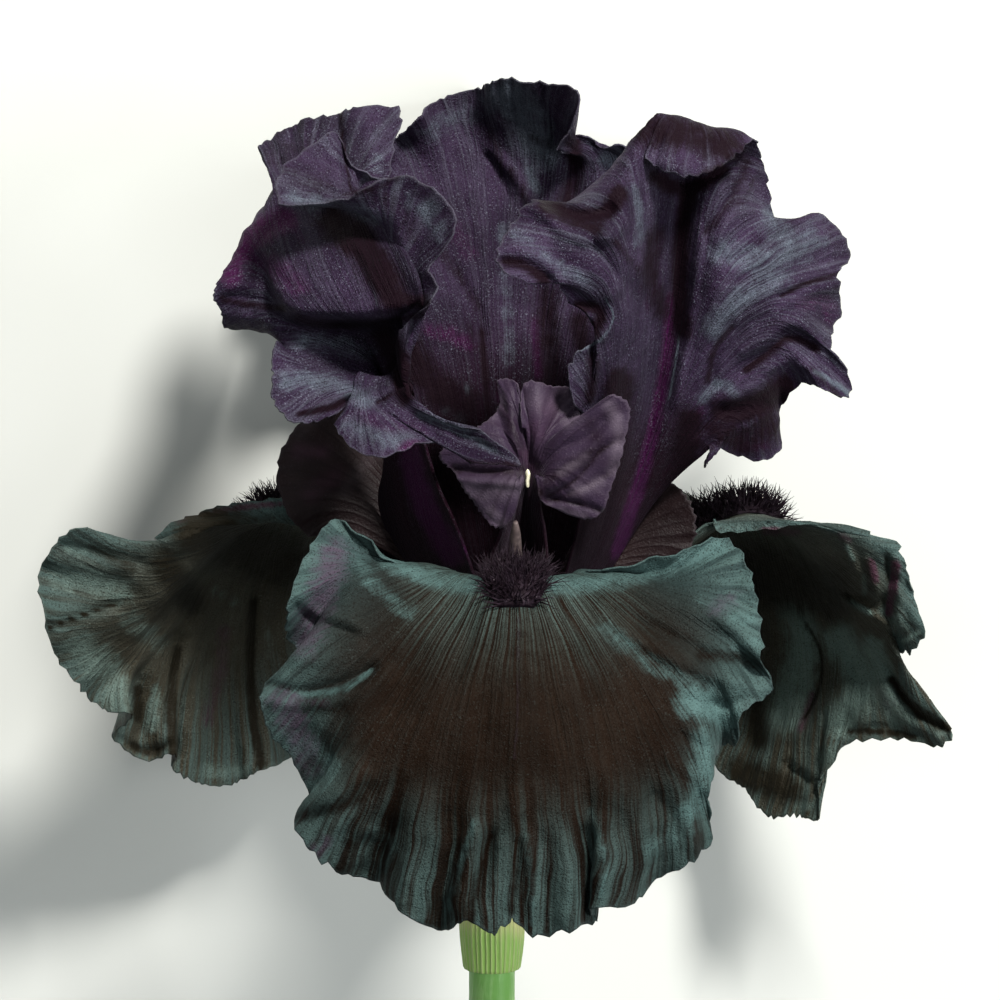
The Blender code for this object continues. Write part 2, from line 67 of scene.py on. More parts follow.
def in_picture(x, away, height):
    """A place right of, away from and up the bloom's axis, in the picture frame."""
    return np.array([
        x,
        away * math.sin(BLOOM_LEAN) + height * math.cos(BLOOM_LEAN),
        height * math.sin(BLOOM_LEAN) - away * math.cos(BLOOM_LEAN),
    ])


def in_bloom(bearing, out, sideways, height):
    """A place given round the bloom's axis, in the picture frame."""
    turn = math.radians(bearing)
    x = out * math.sin(turn) + sideways * math.cos(turn)
    away = sideways * math.sin(turn) - out * math.cos(turn)
    return in_picture(x, away, height)


print("100 mm up the axis is", in_picture(0, 0, 100).round(1), "in the picture frame")

# %% [markdown]
# ## Smooth curves through few points
#
# Petals are drawn with as few points as will hold their shape, so everything between them comes
# from one curve helper. It passes through every point, and leaves each one along the direction
# of its neighbours, which is how a bent sheet of petal behaves too.

# %% The curve helper


def curve(points, places, knots=None):
    """A smooth curve through the points, read at places from 0 to 1."""
    points = np.asarray(points, float)
    if knots is None:
        steps = np.sqrt(np.linalg.norm(np.diff(points, axis=0), axis=1))
        knots = np.concatenate([[0], np.cumsum(steps)]) / steps.sum()
    knots = np.asarray(knots, float)
    spans = np.diff(knots)
    slopes = np.diff(points, axis=0) / spans[:, None]
    pulls = np.empty_like(points)
    mixed = slopes[:-1] * spans[1:, None] + slopes[1:] * spans[:-1, None]
    pulls[1:-1] = mixed / (spans[1:] + spans[:-1])[:, None]
    pulls[0] = 1.5 * slopes[0] - 0.5 * pulls[1]
    pulls[-1] = 1.5 * slopes[-1] - 0.5 * pulls[-2]
    first = np.clip(np.searchsorted(knots, places, side="right") - 1, 0, len(points) - 2)
    span = spans[first][:, None]
    u = (np.asarray(places)[:, None] - knots[first][:, None]) / span
    return (
        (2 * u**3 - 3 * u**2 + 1) * points[first]
        + (u**3 - 2 * u**2 + u) * span * pulls[first]
        + (3 * u**2 - 2 * u**3) * points[first + 1]
        + (u**3 - u**2) * span * pulls[first + 1]
    )


def eased(value, low, high):
    """0 below low, 1 above high, and a smooth rise between."""
    share = np.clip((np.asarray(value, float) - low) / (high - low), 0, 1)
    return share * share * (3 - 2 * share)


print("halfway along a corner:", curve([(0, 0), (1, 0), (1, 1)], [0.5]).round(2))

# %% [markdown]
# ## The shapes of the petals
#
# Each petal is a few rows of points across its blade, then its margin from the left end to the
# tip and on to the right end. A point is (across, up, near) in the picture frame. These are the
# same rows that the solids were made from, so the fine petals lie over them.

# %% Rows and margins of the petals
PETAL_KNOTS = (0, 0.2, 0.42, 0.7, 1)
FALL_FRONT = {
    "rows": [
        [
            (-8.5, 18, 29), (-8, 18.5, 37), (0, 17.5, 43), (8, 18.5, 37), (8.5, 18, 29),
        ],
        [
            (-11, 19, 31), (-24.5, 18.5, 45), (-21, -4, 54), (0, -6.5, 57.5), (22, -4, 54),
            (26, 15.5, 45), (11, 19, 31),
        ],
    ],
    "left": [
        (-5.5, 18.5, 32), (-12, 19, 37), (-18, 21, 41), (-22.5, 23.5, 43), (-28, 27.5, 42),
        (-32, 23, 45), (-35, 14.5, 51), (-35.5, 10, 46), (-33.5, 5.5, 40), (-38.5, 2.5, 50),
        (-39, -1.5, 52), (-37.5, -6, 49), (-34, -10.5, 45), (-31, -16.5, 42), (-34.5, -19, 46),
        (-31.5, -23.5, 50), (-27, -27, 45), (-22, -28, 42), (-17.5, -33, 50), (-11.5, -36, 46),
        (-7.5, -34, 53), (-3.5, -36, 50), (-0.5, -33, 54),
    ],
    "right": [
        (3, -36.5, 50), (9, -35, 52), (12.5, -34.5, 46), (11.5, -32, 53), (17.5, -32, 48),
        (21.5, -28.5, 43), (27, -25.5, 47), (30, -22, 44), (29.5, -17, 49), (30, -12.5, 50),
        (32, -7.5, 43), (34.5, -7, 45), (35, -2, 50), (39.5, 1, 47), (38, 6.5, 50),
        (37.5, 13.5, 46), (36, 20, 43), (33, 24.5, 41), (28.5, 23.5, 42), (22.5, 22, 42),
        (14.5, 20, 40), (8.5, 19, 36), (4.5, 18, 32),
    ],
}

FALL_LEFT = {
    "rows": [
        [
            (-29.5, 25, -2.5), (-37, 27.5, -7.5), (-39, 28.5, -18), (-29, 30, -21),
            (-20.5, 27.5, -18),
        ],
        [
            (-32.5, 26.5, -1.5), (-52.5, 25, 1.5), (-63, 8, -12), (-53, 9, -29.5),
            (-40.5, 11.5, -42.5), (-28, 31, -37), (-21.5, 30, -20),
        ],
    ],
    "left": [
        (-33.5, 28.5, -0.5), (-35, 30.5, 1), (-41.5, 30.5, 1), (-47.5, 29.5, 1), (-53.5, 28, 0),
        (-58.5, 24.5, -1), (-59, 21.5, -3), (-60.5, 19, -5), (-62, 21.5, -1), (-65, 24, 1),
        (-70.5, 26, 4), (-75, 24, 2), (-78, 18.5, -1), (-77, 11.5, 2), (-75.5, 4, -5),
        (-71.5, -1, -9), (-68.5, -4.5, -14), (-64, -5.5, -10), (-67.5, -10, -22),
        (-62.5, -14, -30), (-58, -12.5, -26), (-59, -15.5, -35),
    ],
    "right": [
        (-53.5, -18.5, -40), (-48, -18.5, -46), (-43.5, -16, -44), (-39, -14.5, -52),
        (-33, -4.5, -54), (-27, 3.5, -54), (-27.5, 13, -57), (-22.5, 21.5, -52), (-25, 30, -48),
        (-21.5, 36.5, -39), (-23, 37, -30.5), (-21.5, 32, -21),
    ],
}

FALL_RIGHT = {
    "rows": [
        [
            (20.5, 27.5, -18), (29, 30, -21), (39, 28.5, -18), (37, 27.5, -7.5), (29.5, 25, -2.5),
        ],
        [
            (21.5, 30, -20), (28, 31, -37), (40.5, 11.5, -42.5), (51, 9, -28.5), (60, 8, -10.5),
            (52, 25, 2), (32.5, 26.5, -1.5),
        ],
    ],
    "left": [
        (21.5, 32, -21), (23, 37, -30.5), (22.5, 35.5, -39.5), (25, 29, -48.5), (22.5, 20.5, -52),
        (27.5, 12, -57.5), (27, 1.5, -54), (33.5, -7, -52.5), (36, -17, -50), (40, -19.5, -46),
        (44, -24, -41), (47.5, -23.5, -37), (50, -24, -34),
    ],
    "right": [
        (52, -24, -32), (52, -17.5, -30), (53.5, -14.5, -27), (55.5, -11, -25), (63.5, -9.5, -16),
        (71, -10, -7), (72.5, -7.5, -4), (68.5, -4.5, -7), (64.5, -1, -11), (63, 3.5, -14),
        (63, 5, -12), (66, 6, -5), (67, 9.5, 0), (65.5, 15, 0), (64, 19.5, 3), (62.5, 23, 4),
        (60.5, 22.5, 0), (58, 25, 4), (56.5, 23.5, 0), (54, 25, 3), (48, 26.5, 3), (40, 25.5, 1),
        (33, 25.5, 0), (33, 27.5, -0.5),
    ],
}

STANDARD_RIGHT = {
    "rows": [
        [
            (12, 40, 24), (16, 48, 30), (22.5, 49.5, 19), (28, 49, 20), (30.5, 38, 12),
        ],
        [
            (11, 43.5, 28), (12.5, 52, 36), (13, 60.5, 42), (15, 69.5, 46), (19.5, 82.5, 43),
            (26, 87.5, 35), (31, 79, 32), (35.5, 64, 27), (40, 59, 21), (40, 51, 17),
            (31, 36.5, 12),
        ],
    ],
    "left": [
        (10, 45.5, 33), (8, 50, 36), (9.5, 53.5, 37), (13, 56, 35), (15, 60, 35), (14.5, 62, 38),
        (8.5, 61, 42), (6, 65.5, 43), (3.5, 64, 47), (-1.5, 65.5, 49), (-3, 68, 48),
        (-0.5, 73.5, 45), (2, 76.5, 43), (7, 77, 36), (11, 79, 33), (14.5, 80.5, 33), (17, 83, 36),
        (19, 84.5, 41), (19.5, 86, 42), (21, 82.5, 44), (25.5, 80.5, 45),
    ],
    "right": [
        (30, 81.5, 43), (34, 84, 39), (37.5, 87, 33), (39, 84.5, 28), (40.5, 81, 24), (42, 75, 20),
        (46, 75.5, 15), (49, 77, 13), (53, 73.5, 10), (54.5, 70, 7), (52, 67, 13), (53, 61.5, 8),
        (51, 56.5, 14), (52, 53.5, 15), (54.5, 48.5, 10), (53.5, 47, 11), (49, 48.5, 16),
        (46, 49, 14), (43, 44.5, 8), (43.5, 39.5, 5), (40.5, 37, 7), (36, 37.5, 9),
        (31.5, 39.5, 13), (31.5, 35.5, 11),
    ],
}

STANDARD_LEFT = {
    "knots": (0, 0.2, 0.4, 0.56, 0.76, 1),
    "rows": [
        [
            (-17.5, 41, 18), (-23, 54, 20), (-19.5, 55, 22), (-17.5, 54.5, 27), (-18, 42.5, 21),
        ],
        [
            (-21, 44, 22), (-30.5, 55.5, 24), (-34, 60.5, 31), (-21.5, 60.5, 37),
            (-14.5, 61.5, 40), (-18.5, 51.5, 30), (-24, 50.5, 29),
        ],
        [
            (-23.5, 45, 25), (-37, 56, 25), (-40.5, 72, 22), (-28, 77.5, 26), (-20, 72, 35),
            (-17.5, 48.5, 34), (-26, 46.5, 32),
        ],
    ],
    "left": [
        (-26, 46, 27), (-31, 43, 30), (-35, 43, 32), (-38, 46.5, 31), (-38.5, 51, 30),
        (-38, 55, 27), (-36.5, 57, 20), (-43.5, 57.5, 13), (-46.5, 58, 15), (-47, 60.5, 20),
        (-48, 63, 24), (-47, 65.5, 22), (-44.5, 71, 18), (-42.5, 75, 15), (-39.5, 79, 12),
        (-38, 84.5, 14), (-41.5, 87.5, 10), (-39.5, 89.5, 10), (-34.5, 91.5, 13), (-28, 92.5, 16),
        (-26, 93.5, 18),
    ],
    "right": [
        (-18.5, 93, 20), (-19.5, 86, 24), (-20.5, 81, 28), (-26, 84, 31), (-28.5, 88.5, 31),
        (-32.5, 86, 33), (-37, 82, 35), (-37, 76.5, 38), (-33, 77, 40), (-26.5, 77.5, 41),
        (-23, 79, 42), (-18, 80.5, 42), (-12, 78.5, 43), (-9, 73.5, 44), (-11, 69.5, 43),
        (-13.5, 66.5, 41), (-12, 63.5, 43), (-13.5, 61, 44), (-17, 58, 37), (-18.5, 54, 32),
        (-16.5, 47.5, 35), (-10.5, 42.5, 39), (-4.5, 40.5, 42), (0.5, 36, 44), (-2.5, 36, 43),
        (-7, 36.5, 41), (-9.5, 39.5, 38), (-16, 39, 38), (-21, 37, 38), (-26, 39, 36),
        (-28.5, 42.5, 33),
    ],
}

STANDARD_BACK = {
    "rows": [
        [
            (-18, 47, -14), (-13, 59.5, -16), (0, 62.5, -19.5), (12, 59.5, -16), (15, 47, -12),
        ],
        [
            (-22, 52, -17.5), (-28, 67, -21.5), (-20, 83, -27), (-6, 85.5, -28.5),
            (8, 84.5, -23.5), (20, 82.5, -25), (28, 66.5, -20.5), (18, 51, -13.5),
        ],
    ],
    "left": [
        (-23, 54, -19), (-31, 56.5, -21.5), (-35, 60.5, -15.5), (-38, 69, -22.5), (-39, 76, -15),
        (-36, 85, -21.5), (-30, 88, -15), (-24, 87, -20), (-20, 91.5, -25), (-16, 95, -20),
        (-12.5, 98.5, -26), (-6, 100, -24), (-4, 100.5, -18), (-1, 101, -15),
    ],
    "right": [
        (5, 99.5, -10), (10, 97.5, -4), (8.5, 91.5, -5), (7.5, 88, -8), (10.5, 91.5, -16),
        (13, 91, -18), (14.5, 89.5, -20), (17.5, 90, -17), (22, 88, -19), (32, 89, -21),
        (38, 79.5, -12.5), (40, 71, -23), (35, 61.5, -14.5), (28, 54.5, -21), (20, 53.5, -15),
    ],
}

STYLE_ARM = {
    "knots": (0, 0.12, 0.3, 0.6, 1),
    "rows": [
        [
            (0, 32, 30), (0.5, 34.5, 30), (2, 36.5, 29), (3.5, 34.5, 30), (3.5, 32, 30),
        ],
    ],
    "left": [
        (1, 31.5, 31), (-2.5, 26, 29), (-6, 29, 28), (-9.5, 34.5, 29), (-12, 37.5, 29),
        (-9, 40.5, 31), (-5.5, 42.5, 31), (-2.5, 45.5, 30), (-2.5, 49.5, 29), (0, 49, 31),
        (1, 41.5, 33),
    ],
    "right": [
        (1.5, 49, 32), (5.5, 48.5, 31), (9.5, 48, 28), (10, 46, 28.5), (10.5, 42.5, 31),
        (13, 45.5, 35), (15, 47, 37), (17.5, 45.5, 36), (17, 39, 34), (15, 32, 31),
        (13.5, 28.5, 30), (11, 27.5, 29), (4.5, 30, 30), (3.5, 31.5, 31),
    ],
}

print("rows across the front fall's blade:", len(FALL_FRONT["rows"]))

# %% [markdown]
# ## Claws
#
# Every petal narrows to a claw where it leaves the flower's tube. Claws follow a rule, so one
# short helper gives them for any bearing from a few rows of sizes: how far out, how high, half
# how wide, and how far the edges are drawn in and up. The two side style arms are hidden for the
# most part, and an even pair of crests is all that shows, so they follow a rule as well.

# %% The claws and the side style arms
FALL_CLAW = ((5.2, 0, 3, 0, 0.3), (21, 12, 6, 1, 2.5))
STANDARD_CLAW = ((4.2, 0, 2.2, 0, 0), (17.5, 28, 11.5, 0, 0))
STYLE_CLAW = ((1.5, 0, 1.2, 0, 0), (4.2, 8, 2, 0, 0), (10.5, 20.5, 5, -1.5, -4))
SIDE_CREST = [(28, 0, 42), (28.5, 3, 50), (28, 7, 50), (30, 11, 45), (33, 15, 42)]
SIDE_CREST += [(35, 17, 36), (34, 17, 30), (31, 15, 25), (26, 11, 24)]
SIDE_END = [(23, 10, 24), (23, 7, 33), (24, 0, 38)]


def claw_row(bearing, out, height, half, edge_in, edge_up):
    """Three points across a petal's claw, from the viewer's left, its edges drawn in and up."""
    side = math.copysign(half, math.cos(math.radians(bearing)))
    return [
        in_bloom(bearing, out - edge_in, -side, height + edge_up),
        in_bloom(bearing, out, 0, height),
        in_bloom(bearing, out - edge_in, side, height + edge_up),
    ]


def claw_rows(sizes, bearing, wider=0.0):
    """The rows of a claw; wider adds to each side where light would show past the solid."""
    return [
        claw_row(bearing, out, height, half + wider, edge_in, edge_up)
        for out, height, half, edge_in, edge_up in sizes
    ]


def side_style(bearing, size):
    """A side style arm: an arched row at its end, then the even pair of crests round its notch."""

    def side(points, sign):
        return [in_bloom(bearing, size * out, sign * size * w, size * up) for out, w, up in points]

    left = math.copysign(1, -math.cos(math.radians(bearing)))
    return {
        "knots": STYLE_ARM["knots"],
        "rows": [side(SIDE_END, left) + side(SIDE_END[1::-1], -left)],
        "left": side(SIDE_CREST[::-1], left),
        "right": side(SIDE_CREST[1:], -left),
    }


neck_left, _, neck_right = claw_rows(FALL_CLAW, 0)[-1]
print("a fall's claw is", np.linalg.norm(neck_right - neck_left).round(1), "mm wide at its neck")

# %% [markdown]
# ## One smooth surface
#
# A petal's surface is read at any number of places: place runs from -1 at its left edge to 1 at
# its right one, and reach from 0 at the base to 1 at the margin. Lines of one place run like the
# petal's own veins, which makes the pair a good map for veins and colour too.

# %% The surface of a petal


def petal_points(petal, claw, place, reach):
    """The petal's surface at each reach and place, as a grid of points."""
    even = (place + 1) / 2
    rows = claw + petal["rows"]
    lines = [curve(row, even, np.linspace(0, 1, len(row))) for row in rows]
    left_line = curve(petal["left"], np.clip(place + 1, 0, 1))
    right_line = curve([petal["left"][-1]] + petal["right"], np.clip(place, 0, 1))
    lines.append(np.where(place[:, None] <= 0, left_line, right_line))
    knots = petal.get("knots", PETAL_KNOTS)
    points = curve(np.array(lines).reshape(len(knots), -1), reach, knots)
    return points.reshape(len(reach), len(place), 3)


def normals_of(grid):
    """The outward direction at each point of a grid of points, one millimetre long."""
    ahead = np.gradient(grid, axis=0)
    across = np.gradient(grid, axis=1)
    normals = np.cross(across, ahead)
    length = np.linalg.norm(normals, axis=2, keepdims=True)
    return normals / np.maximum(length, 1e-9)


print("surface ready")

# %% [markdown]
# ## Life in the sheet: folds, crimps and torn rims
#
# A real petal isn't a clean sheet. It has creases where it was folded in the bud, a crimped
# ruffle near the margin, and a margin that is cut into tiny uneven teeth. Creases are laid
# where the viewer sees them, as a line with a width and a depth. Crimps and teeth are sums of a
# few waves whose sizes come from one seeded draw for each petal.

# %% Folds, crimps and teeth
VIEWER_X, VIEWER_UP, VIEWER_NEAR = -2.46, 30.5, 800.0
VIEWER_WAY = np.array([0.0, 0.0, 1.0])
STROKE_STEPS = 14
PUCKER_LENGTHS = (3, 14)
SLOW_RUFFLE, FAST_RUFFLE = (9, 24), (30, 60)
COARSE_TEETH, FINE_TEETH = (60, 110), (140, 240)


def as_seen(grid):
    """Where the viewer sees each point, in millimetres on the plane through the bloom's axis."""
    scale = VIEWER_NEAR / (VIEWER_NEAR - grid[..., 2])
    return np.stack([
        VIEWER_X + (grid[..., 0] - VIEWER_X) * scale,
        VIEWER_UP + (grid[..., 1] - VIEWER_UP) * scale,
    ], axis=-1)


def stroke_weight(seen, near, line, width, power, layer=(-90, 90)):
    """1 on a seen line, fading over its width; layer keeps it to one depth where petals overlap."""
    line = np.asarray(line, float)
    smooth = curve(line, np.linspace(0, 1, STROKE_STEPS)) if len(line) > 2 else line
    low, high = smooth.min(axis=0) - 3 * width, smooth.max(axis=0) + 3 * width
    touched = ((seen > low) & (seen < high)).all(axis=-1) & (near > layer[0]) & (near < layer[1])
    weight = np.zeros(near.shape)
    spots = seen[touched]
    if not len(spots):
        return weight
    nearest = np.full(len(spots), np.inf)
    for a, b in zip(smooth, smooth[1:]):
        share = np.clip(((spots - a) @ (b - a)) / ((b - a) @ (b - a)), 0, 1)
        nearest = np.minimum(nearest, np.linalg.norm(spots - a - share[:, None] * (b - a), axis=1))
    weight[touched] = np.exp(-(nearest / width) ** power)
    return weight


def stroked(grid, strokes, combine, power=2):
    """What a list of strokes adds up to at each point of a grid; a higher power has crisper edges."""
    seen, near = as_seen(grid), grid[..., 2]
    total = np.zeros(near.shape)
    for line, width, amount, *layer in strokes:
        total = combine(total, amount * stroke_weight(seen, near, line, width, power, *layer))
    return total


def waves(place, seed, slowest, fastest, count=7):
    """A wandering wave round the margin, about 1 high, from seeded sines."""
    seeded = np.random.default_rng(seed)
    total = np.zeros_like(place)
    for _ in range(count):
        rate = seeded.uniform(slowest, fastest)
        total += seeded.uniform(0.4, 1) * np.sin(rate * math.pi * place + seeded.uniform(0, 2 * math.pi))
    return total / math.sqrt(count)


def puckers(grid, seed, count=16):
    """Shallow puckers all over a blade, about 1 high, from seeded waves 3 to 14 mm long."""
    seeded = np.random.default_rng(seed)
    total = np.zeros(grid.shape[:2])
    for turn in range(count):
        way = seeded.normal(size=3)
        length = seeded.uniform(*PUCKER_LENGTHS)
        phase = grid @ (2 * math.pi / length * way / np.linalg.norm(way)) + seeded.uniform(0, 6.28)
        wave = np.sin(phase) if turn % 2 else 1 - 2 * np.abs(np.sin(phase / 2))
        total += length / 8 * wave
    return total / math.sqrt(count / 2)


def lively(grid, place, reach, folds, seed, crimp, teeth, crimp_from=0.72, pucker=0.16):
    """The grid with its folds, the crimps of its ruffle and the teeth of its margin."""
    normals = normals_of(grid)
    rise = eased(reach, crimp_from, 1.0)[:, None] ** 1.5
    slow = waves(place, seed, *SLOW_RUFFLE)
    fast = waves(place, seed + 1, *FAST_RUFFLE)
    lift = rise * crimp * (0.75 * slow + 0.35 * fast)
    lift += pucker * puckers(grid, seed + 4) * eased(reach, 0.3, 0.5)[:, None]
    raised = stroked(grid, folds, np.add)[..., None] * VIEWER_WAY
    outward = grid[-1] - grid[-4]
    outward /= np.maximum(np.linalg.norm(outward, axis=1), 1e-6)[:, None]
    cut = waves(place, seed + 2, *COARSE_TEETH) + 0.6 * waves(place, seed + 3, *FINE_TEETH)
    edge = eased(reach, 0.94, 1.0)[:, None, None] ** 2
    return grid + raised + normals * lift[..., None] + edge * teeth * cut[None, :, None] * outward[None]


print("folds, crimps and teeth ready")

# %% [markdown]
# ## From a sheet to a blade
#
# A petal has two faces and a thin edge. The blade is closed: the front face, the back face and a
# band round the rim, with the thickness drawn finer towards the margin. Each corner keeps its
# place and reach in a map, so that the finish can follow the veins.

# %% Closed blades, laid where the model lies
LYING_PITCH, LYING_ROLL = math.radians(-19.44), math.radians(-0.08)
TURNED = np.array(Matrix.Rotation(LYING_ROLL, 3, "Y") @ Matrix.Rotation(LYING_PITCH, 3, "X"))


def swept(path, radii, sides, lobe=0.0, ribs=3):
    """A round bar along a path; lobe swells it into ribs."""
    path = np.asarray(path, float)
    ways = np.gradient(path, axis=0)
    ways /= np.linalg.norm(ways, axis=1)[:, None]
    first = np.cross(ways, [1, 0, 0])
    first /= np.linalg.norm(first, axis=1)[:, None]
    second = np.cross(ways, first)
    angles = np.arange(sides) * 2 * math.pi / sides
    swell = 1 + lobe * np.cos(ribs * angles)
    points = [path[0]]
    for centre, radius, one, two in zip(path, radii, first, second):
        for angle, factor in zip(angles, swell):
            points.append(centre + radius * factor * (math.cos(angle) * one + math.sin(angle) * two))
    points.append(path[-1])
    faces = []
    last = 1 + (len(path) - 1) * sides
    for i in range(sides):
        j = (i + 1) % sides
        faces.append((0, 1 + j, 1 + i))
        for ring in range(len(path) - 1):
            a, b = 1 + ring * sides + i, 1 + ring * sides + j
            faces.append((a, b, b + sides, a + sides))
        faces.append((last + i, last + j, len(points) - 1))
    return np.array(points), faces


STEM_BEND, BEND_LENGTH = 3.8, 42
OVARY_END, STEM_END, STEM_RADIUS, GAP = -44.5, -95.0, 3.8, 0.35


def stem_line(heights):
    """The tube, ovary and stem bend a little to the viewer's left as they go down."""
    share = np.clip(-np.asarray(heights, float) / BEND_LENGTH, 0, 1)
    bend = -STEM_BEND * share**2 * (3 - 2 * share)
    return np.array([in_picture(x, 0, height) for x, height in zip(bend, heights)])


stem_points, _ = swept(stem_line(np.linspace(OVARY_END - GAP, STEM_END, 7)), np.full(7, STEM_RADIUS), 18)
stem_low = (stem_points @ TURNED.T).min(axis=0)
SHIFT = np.array(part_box("stem")[0]) * 1000 - stem_low
print("the picture frame's origin lies at", SHIFT.round(2), "mm")


def laid(points):
    """Points of the picture frame, in millimetres, as places of the model, in metres."""
    return (np.asarray(points) @ TURNED.T + SHIFT) / 1000


def new_piece(name, points, faces, material, node):
    """A mesh object at the origin that rides on the model and stands for one of its solids."""
    mesh = bpy.data.meshes.new(name)
    mesh.from_pydata(laid(points).tolist(), [], faces)
    mesh.materials.append(material)
    mesh.shade_smooth()
    piece = bpy.data.objects.new(name, mesh)
    bpy.context.scene.collection.objects.link(piece)
    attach(piece, "root")
    if node:
        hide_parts(node)
    print(name, len(faces), "faces")
    return piece


def sheet_faces(rows, columns):
    """The four-sided faces of a grid of points."""
    numbers = np.arange(rows * columns).reshape(rows, columns)
    corners = (numbers[:-1, :-1], numbers[:-1, 1:], numbers[1:, 1:], numbers[1:, :-1])
    return np.stack([corner.ravel() for corner in corners], axis=1)


def closed_faces(rows, columns):
    """The faces of a front grid, of the back grid that follows it and of the band round both."""
    numbers = np.arange(rows * columns).reshape(rows, columns)
    front = sheet_faces(rows, columns)
    back = front[:, ::-1] + numbers.size
    ring = np.concatenate([numbers[0], numbers[1:, -1], numbers[-1, -2::-1], numbers[-2:0:-1, 0]])
    after = np.roll(ring, -1)
    band = np.stack([after, ring, ring + numbers.size, after + numbers.size], axis=1)
    return np.concatenate([front, back, band]).tolist()


def blade_mesh(grid, thickness):
    """Points and faces of a closed sheet about the grid; thickness is one number for each point."""
    offset = normals_of(grid) * (np.asarray(thickness) / 2)[..., None]
    points = np.concatenate([(grid + offset).reshape(-1, 3), (grid - offset).reshape(-1, 3)])
    return points, closed_faces(*grid.shape[:2])


# A higher power gives a stroke of tint a crisper edge than a fold has.
TINT_EDGE = 2.4


def blade(name, grid, place, reach, thickness, material, node, tints=None):
    """A closed petal or crest, with a map of its place and reach and its tints of painted shade,
    highlight and glow.
    """
    points, faces = blade_mesh(grid, thickness)
    piece = new_piece(name, points, faces, material, node)
    # The tint attribute holds painted shade (deep), painted highlight (pale) and painted glow (glow) for
    # the finish to read.
    shades = np.zeros((len(points), 4))
    for channel, kind in enumerate(("deep", "pale", "glow")):
        strokes = (tints or {}).get(kind, [])
        shades[:, channel] = np.tile(stroked(grid, strokes, np.maximum, TINT_EDGE).ravel(), 2)
    tint = piece.data.attributes.new("tint", "FLOAT_COLOR", "POINT")
    tint.data.foreach_set("color", shades.ravel())
    across, along = np.meshgrid((place + 1) / 2, reach)
    spots = np.stack([across.ravel(), along.ravel()], axis=1)
    spots = np.concatenate([spots, spots])
    corners = np.empty(len(piece.data.loops), np.int32)
    piece.data.loops.foreach_get("vertex_index", corners)
    layer = piece.data.uv_layers.new(name="petal")
    layer.data.foreach_set("uv", spots[corners].ravel())
    return piece
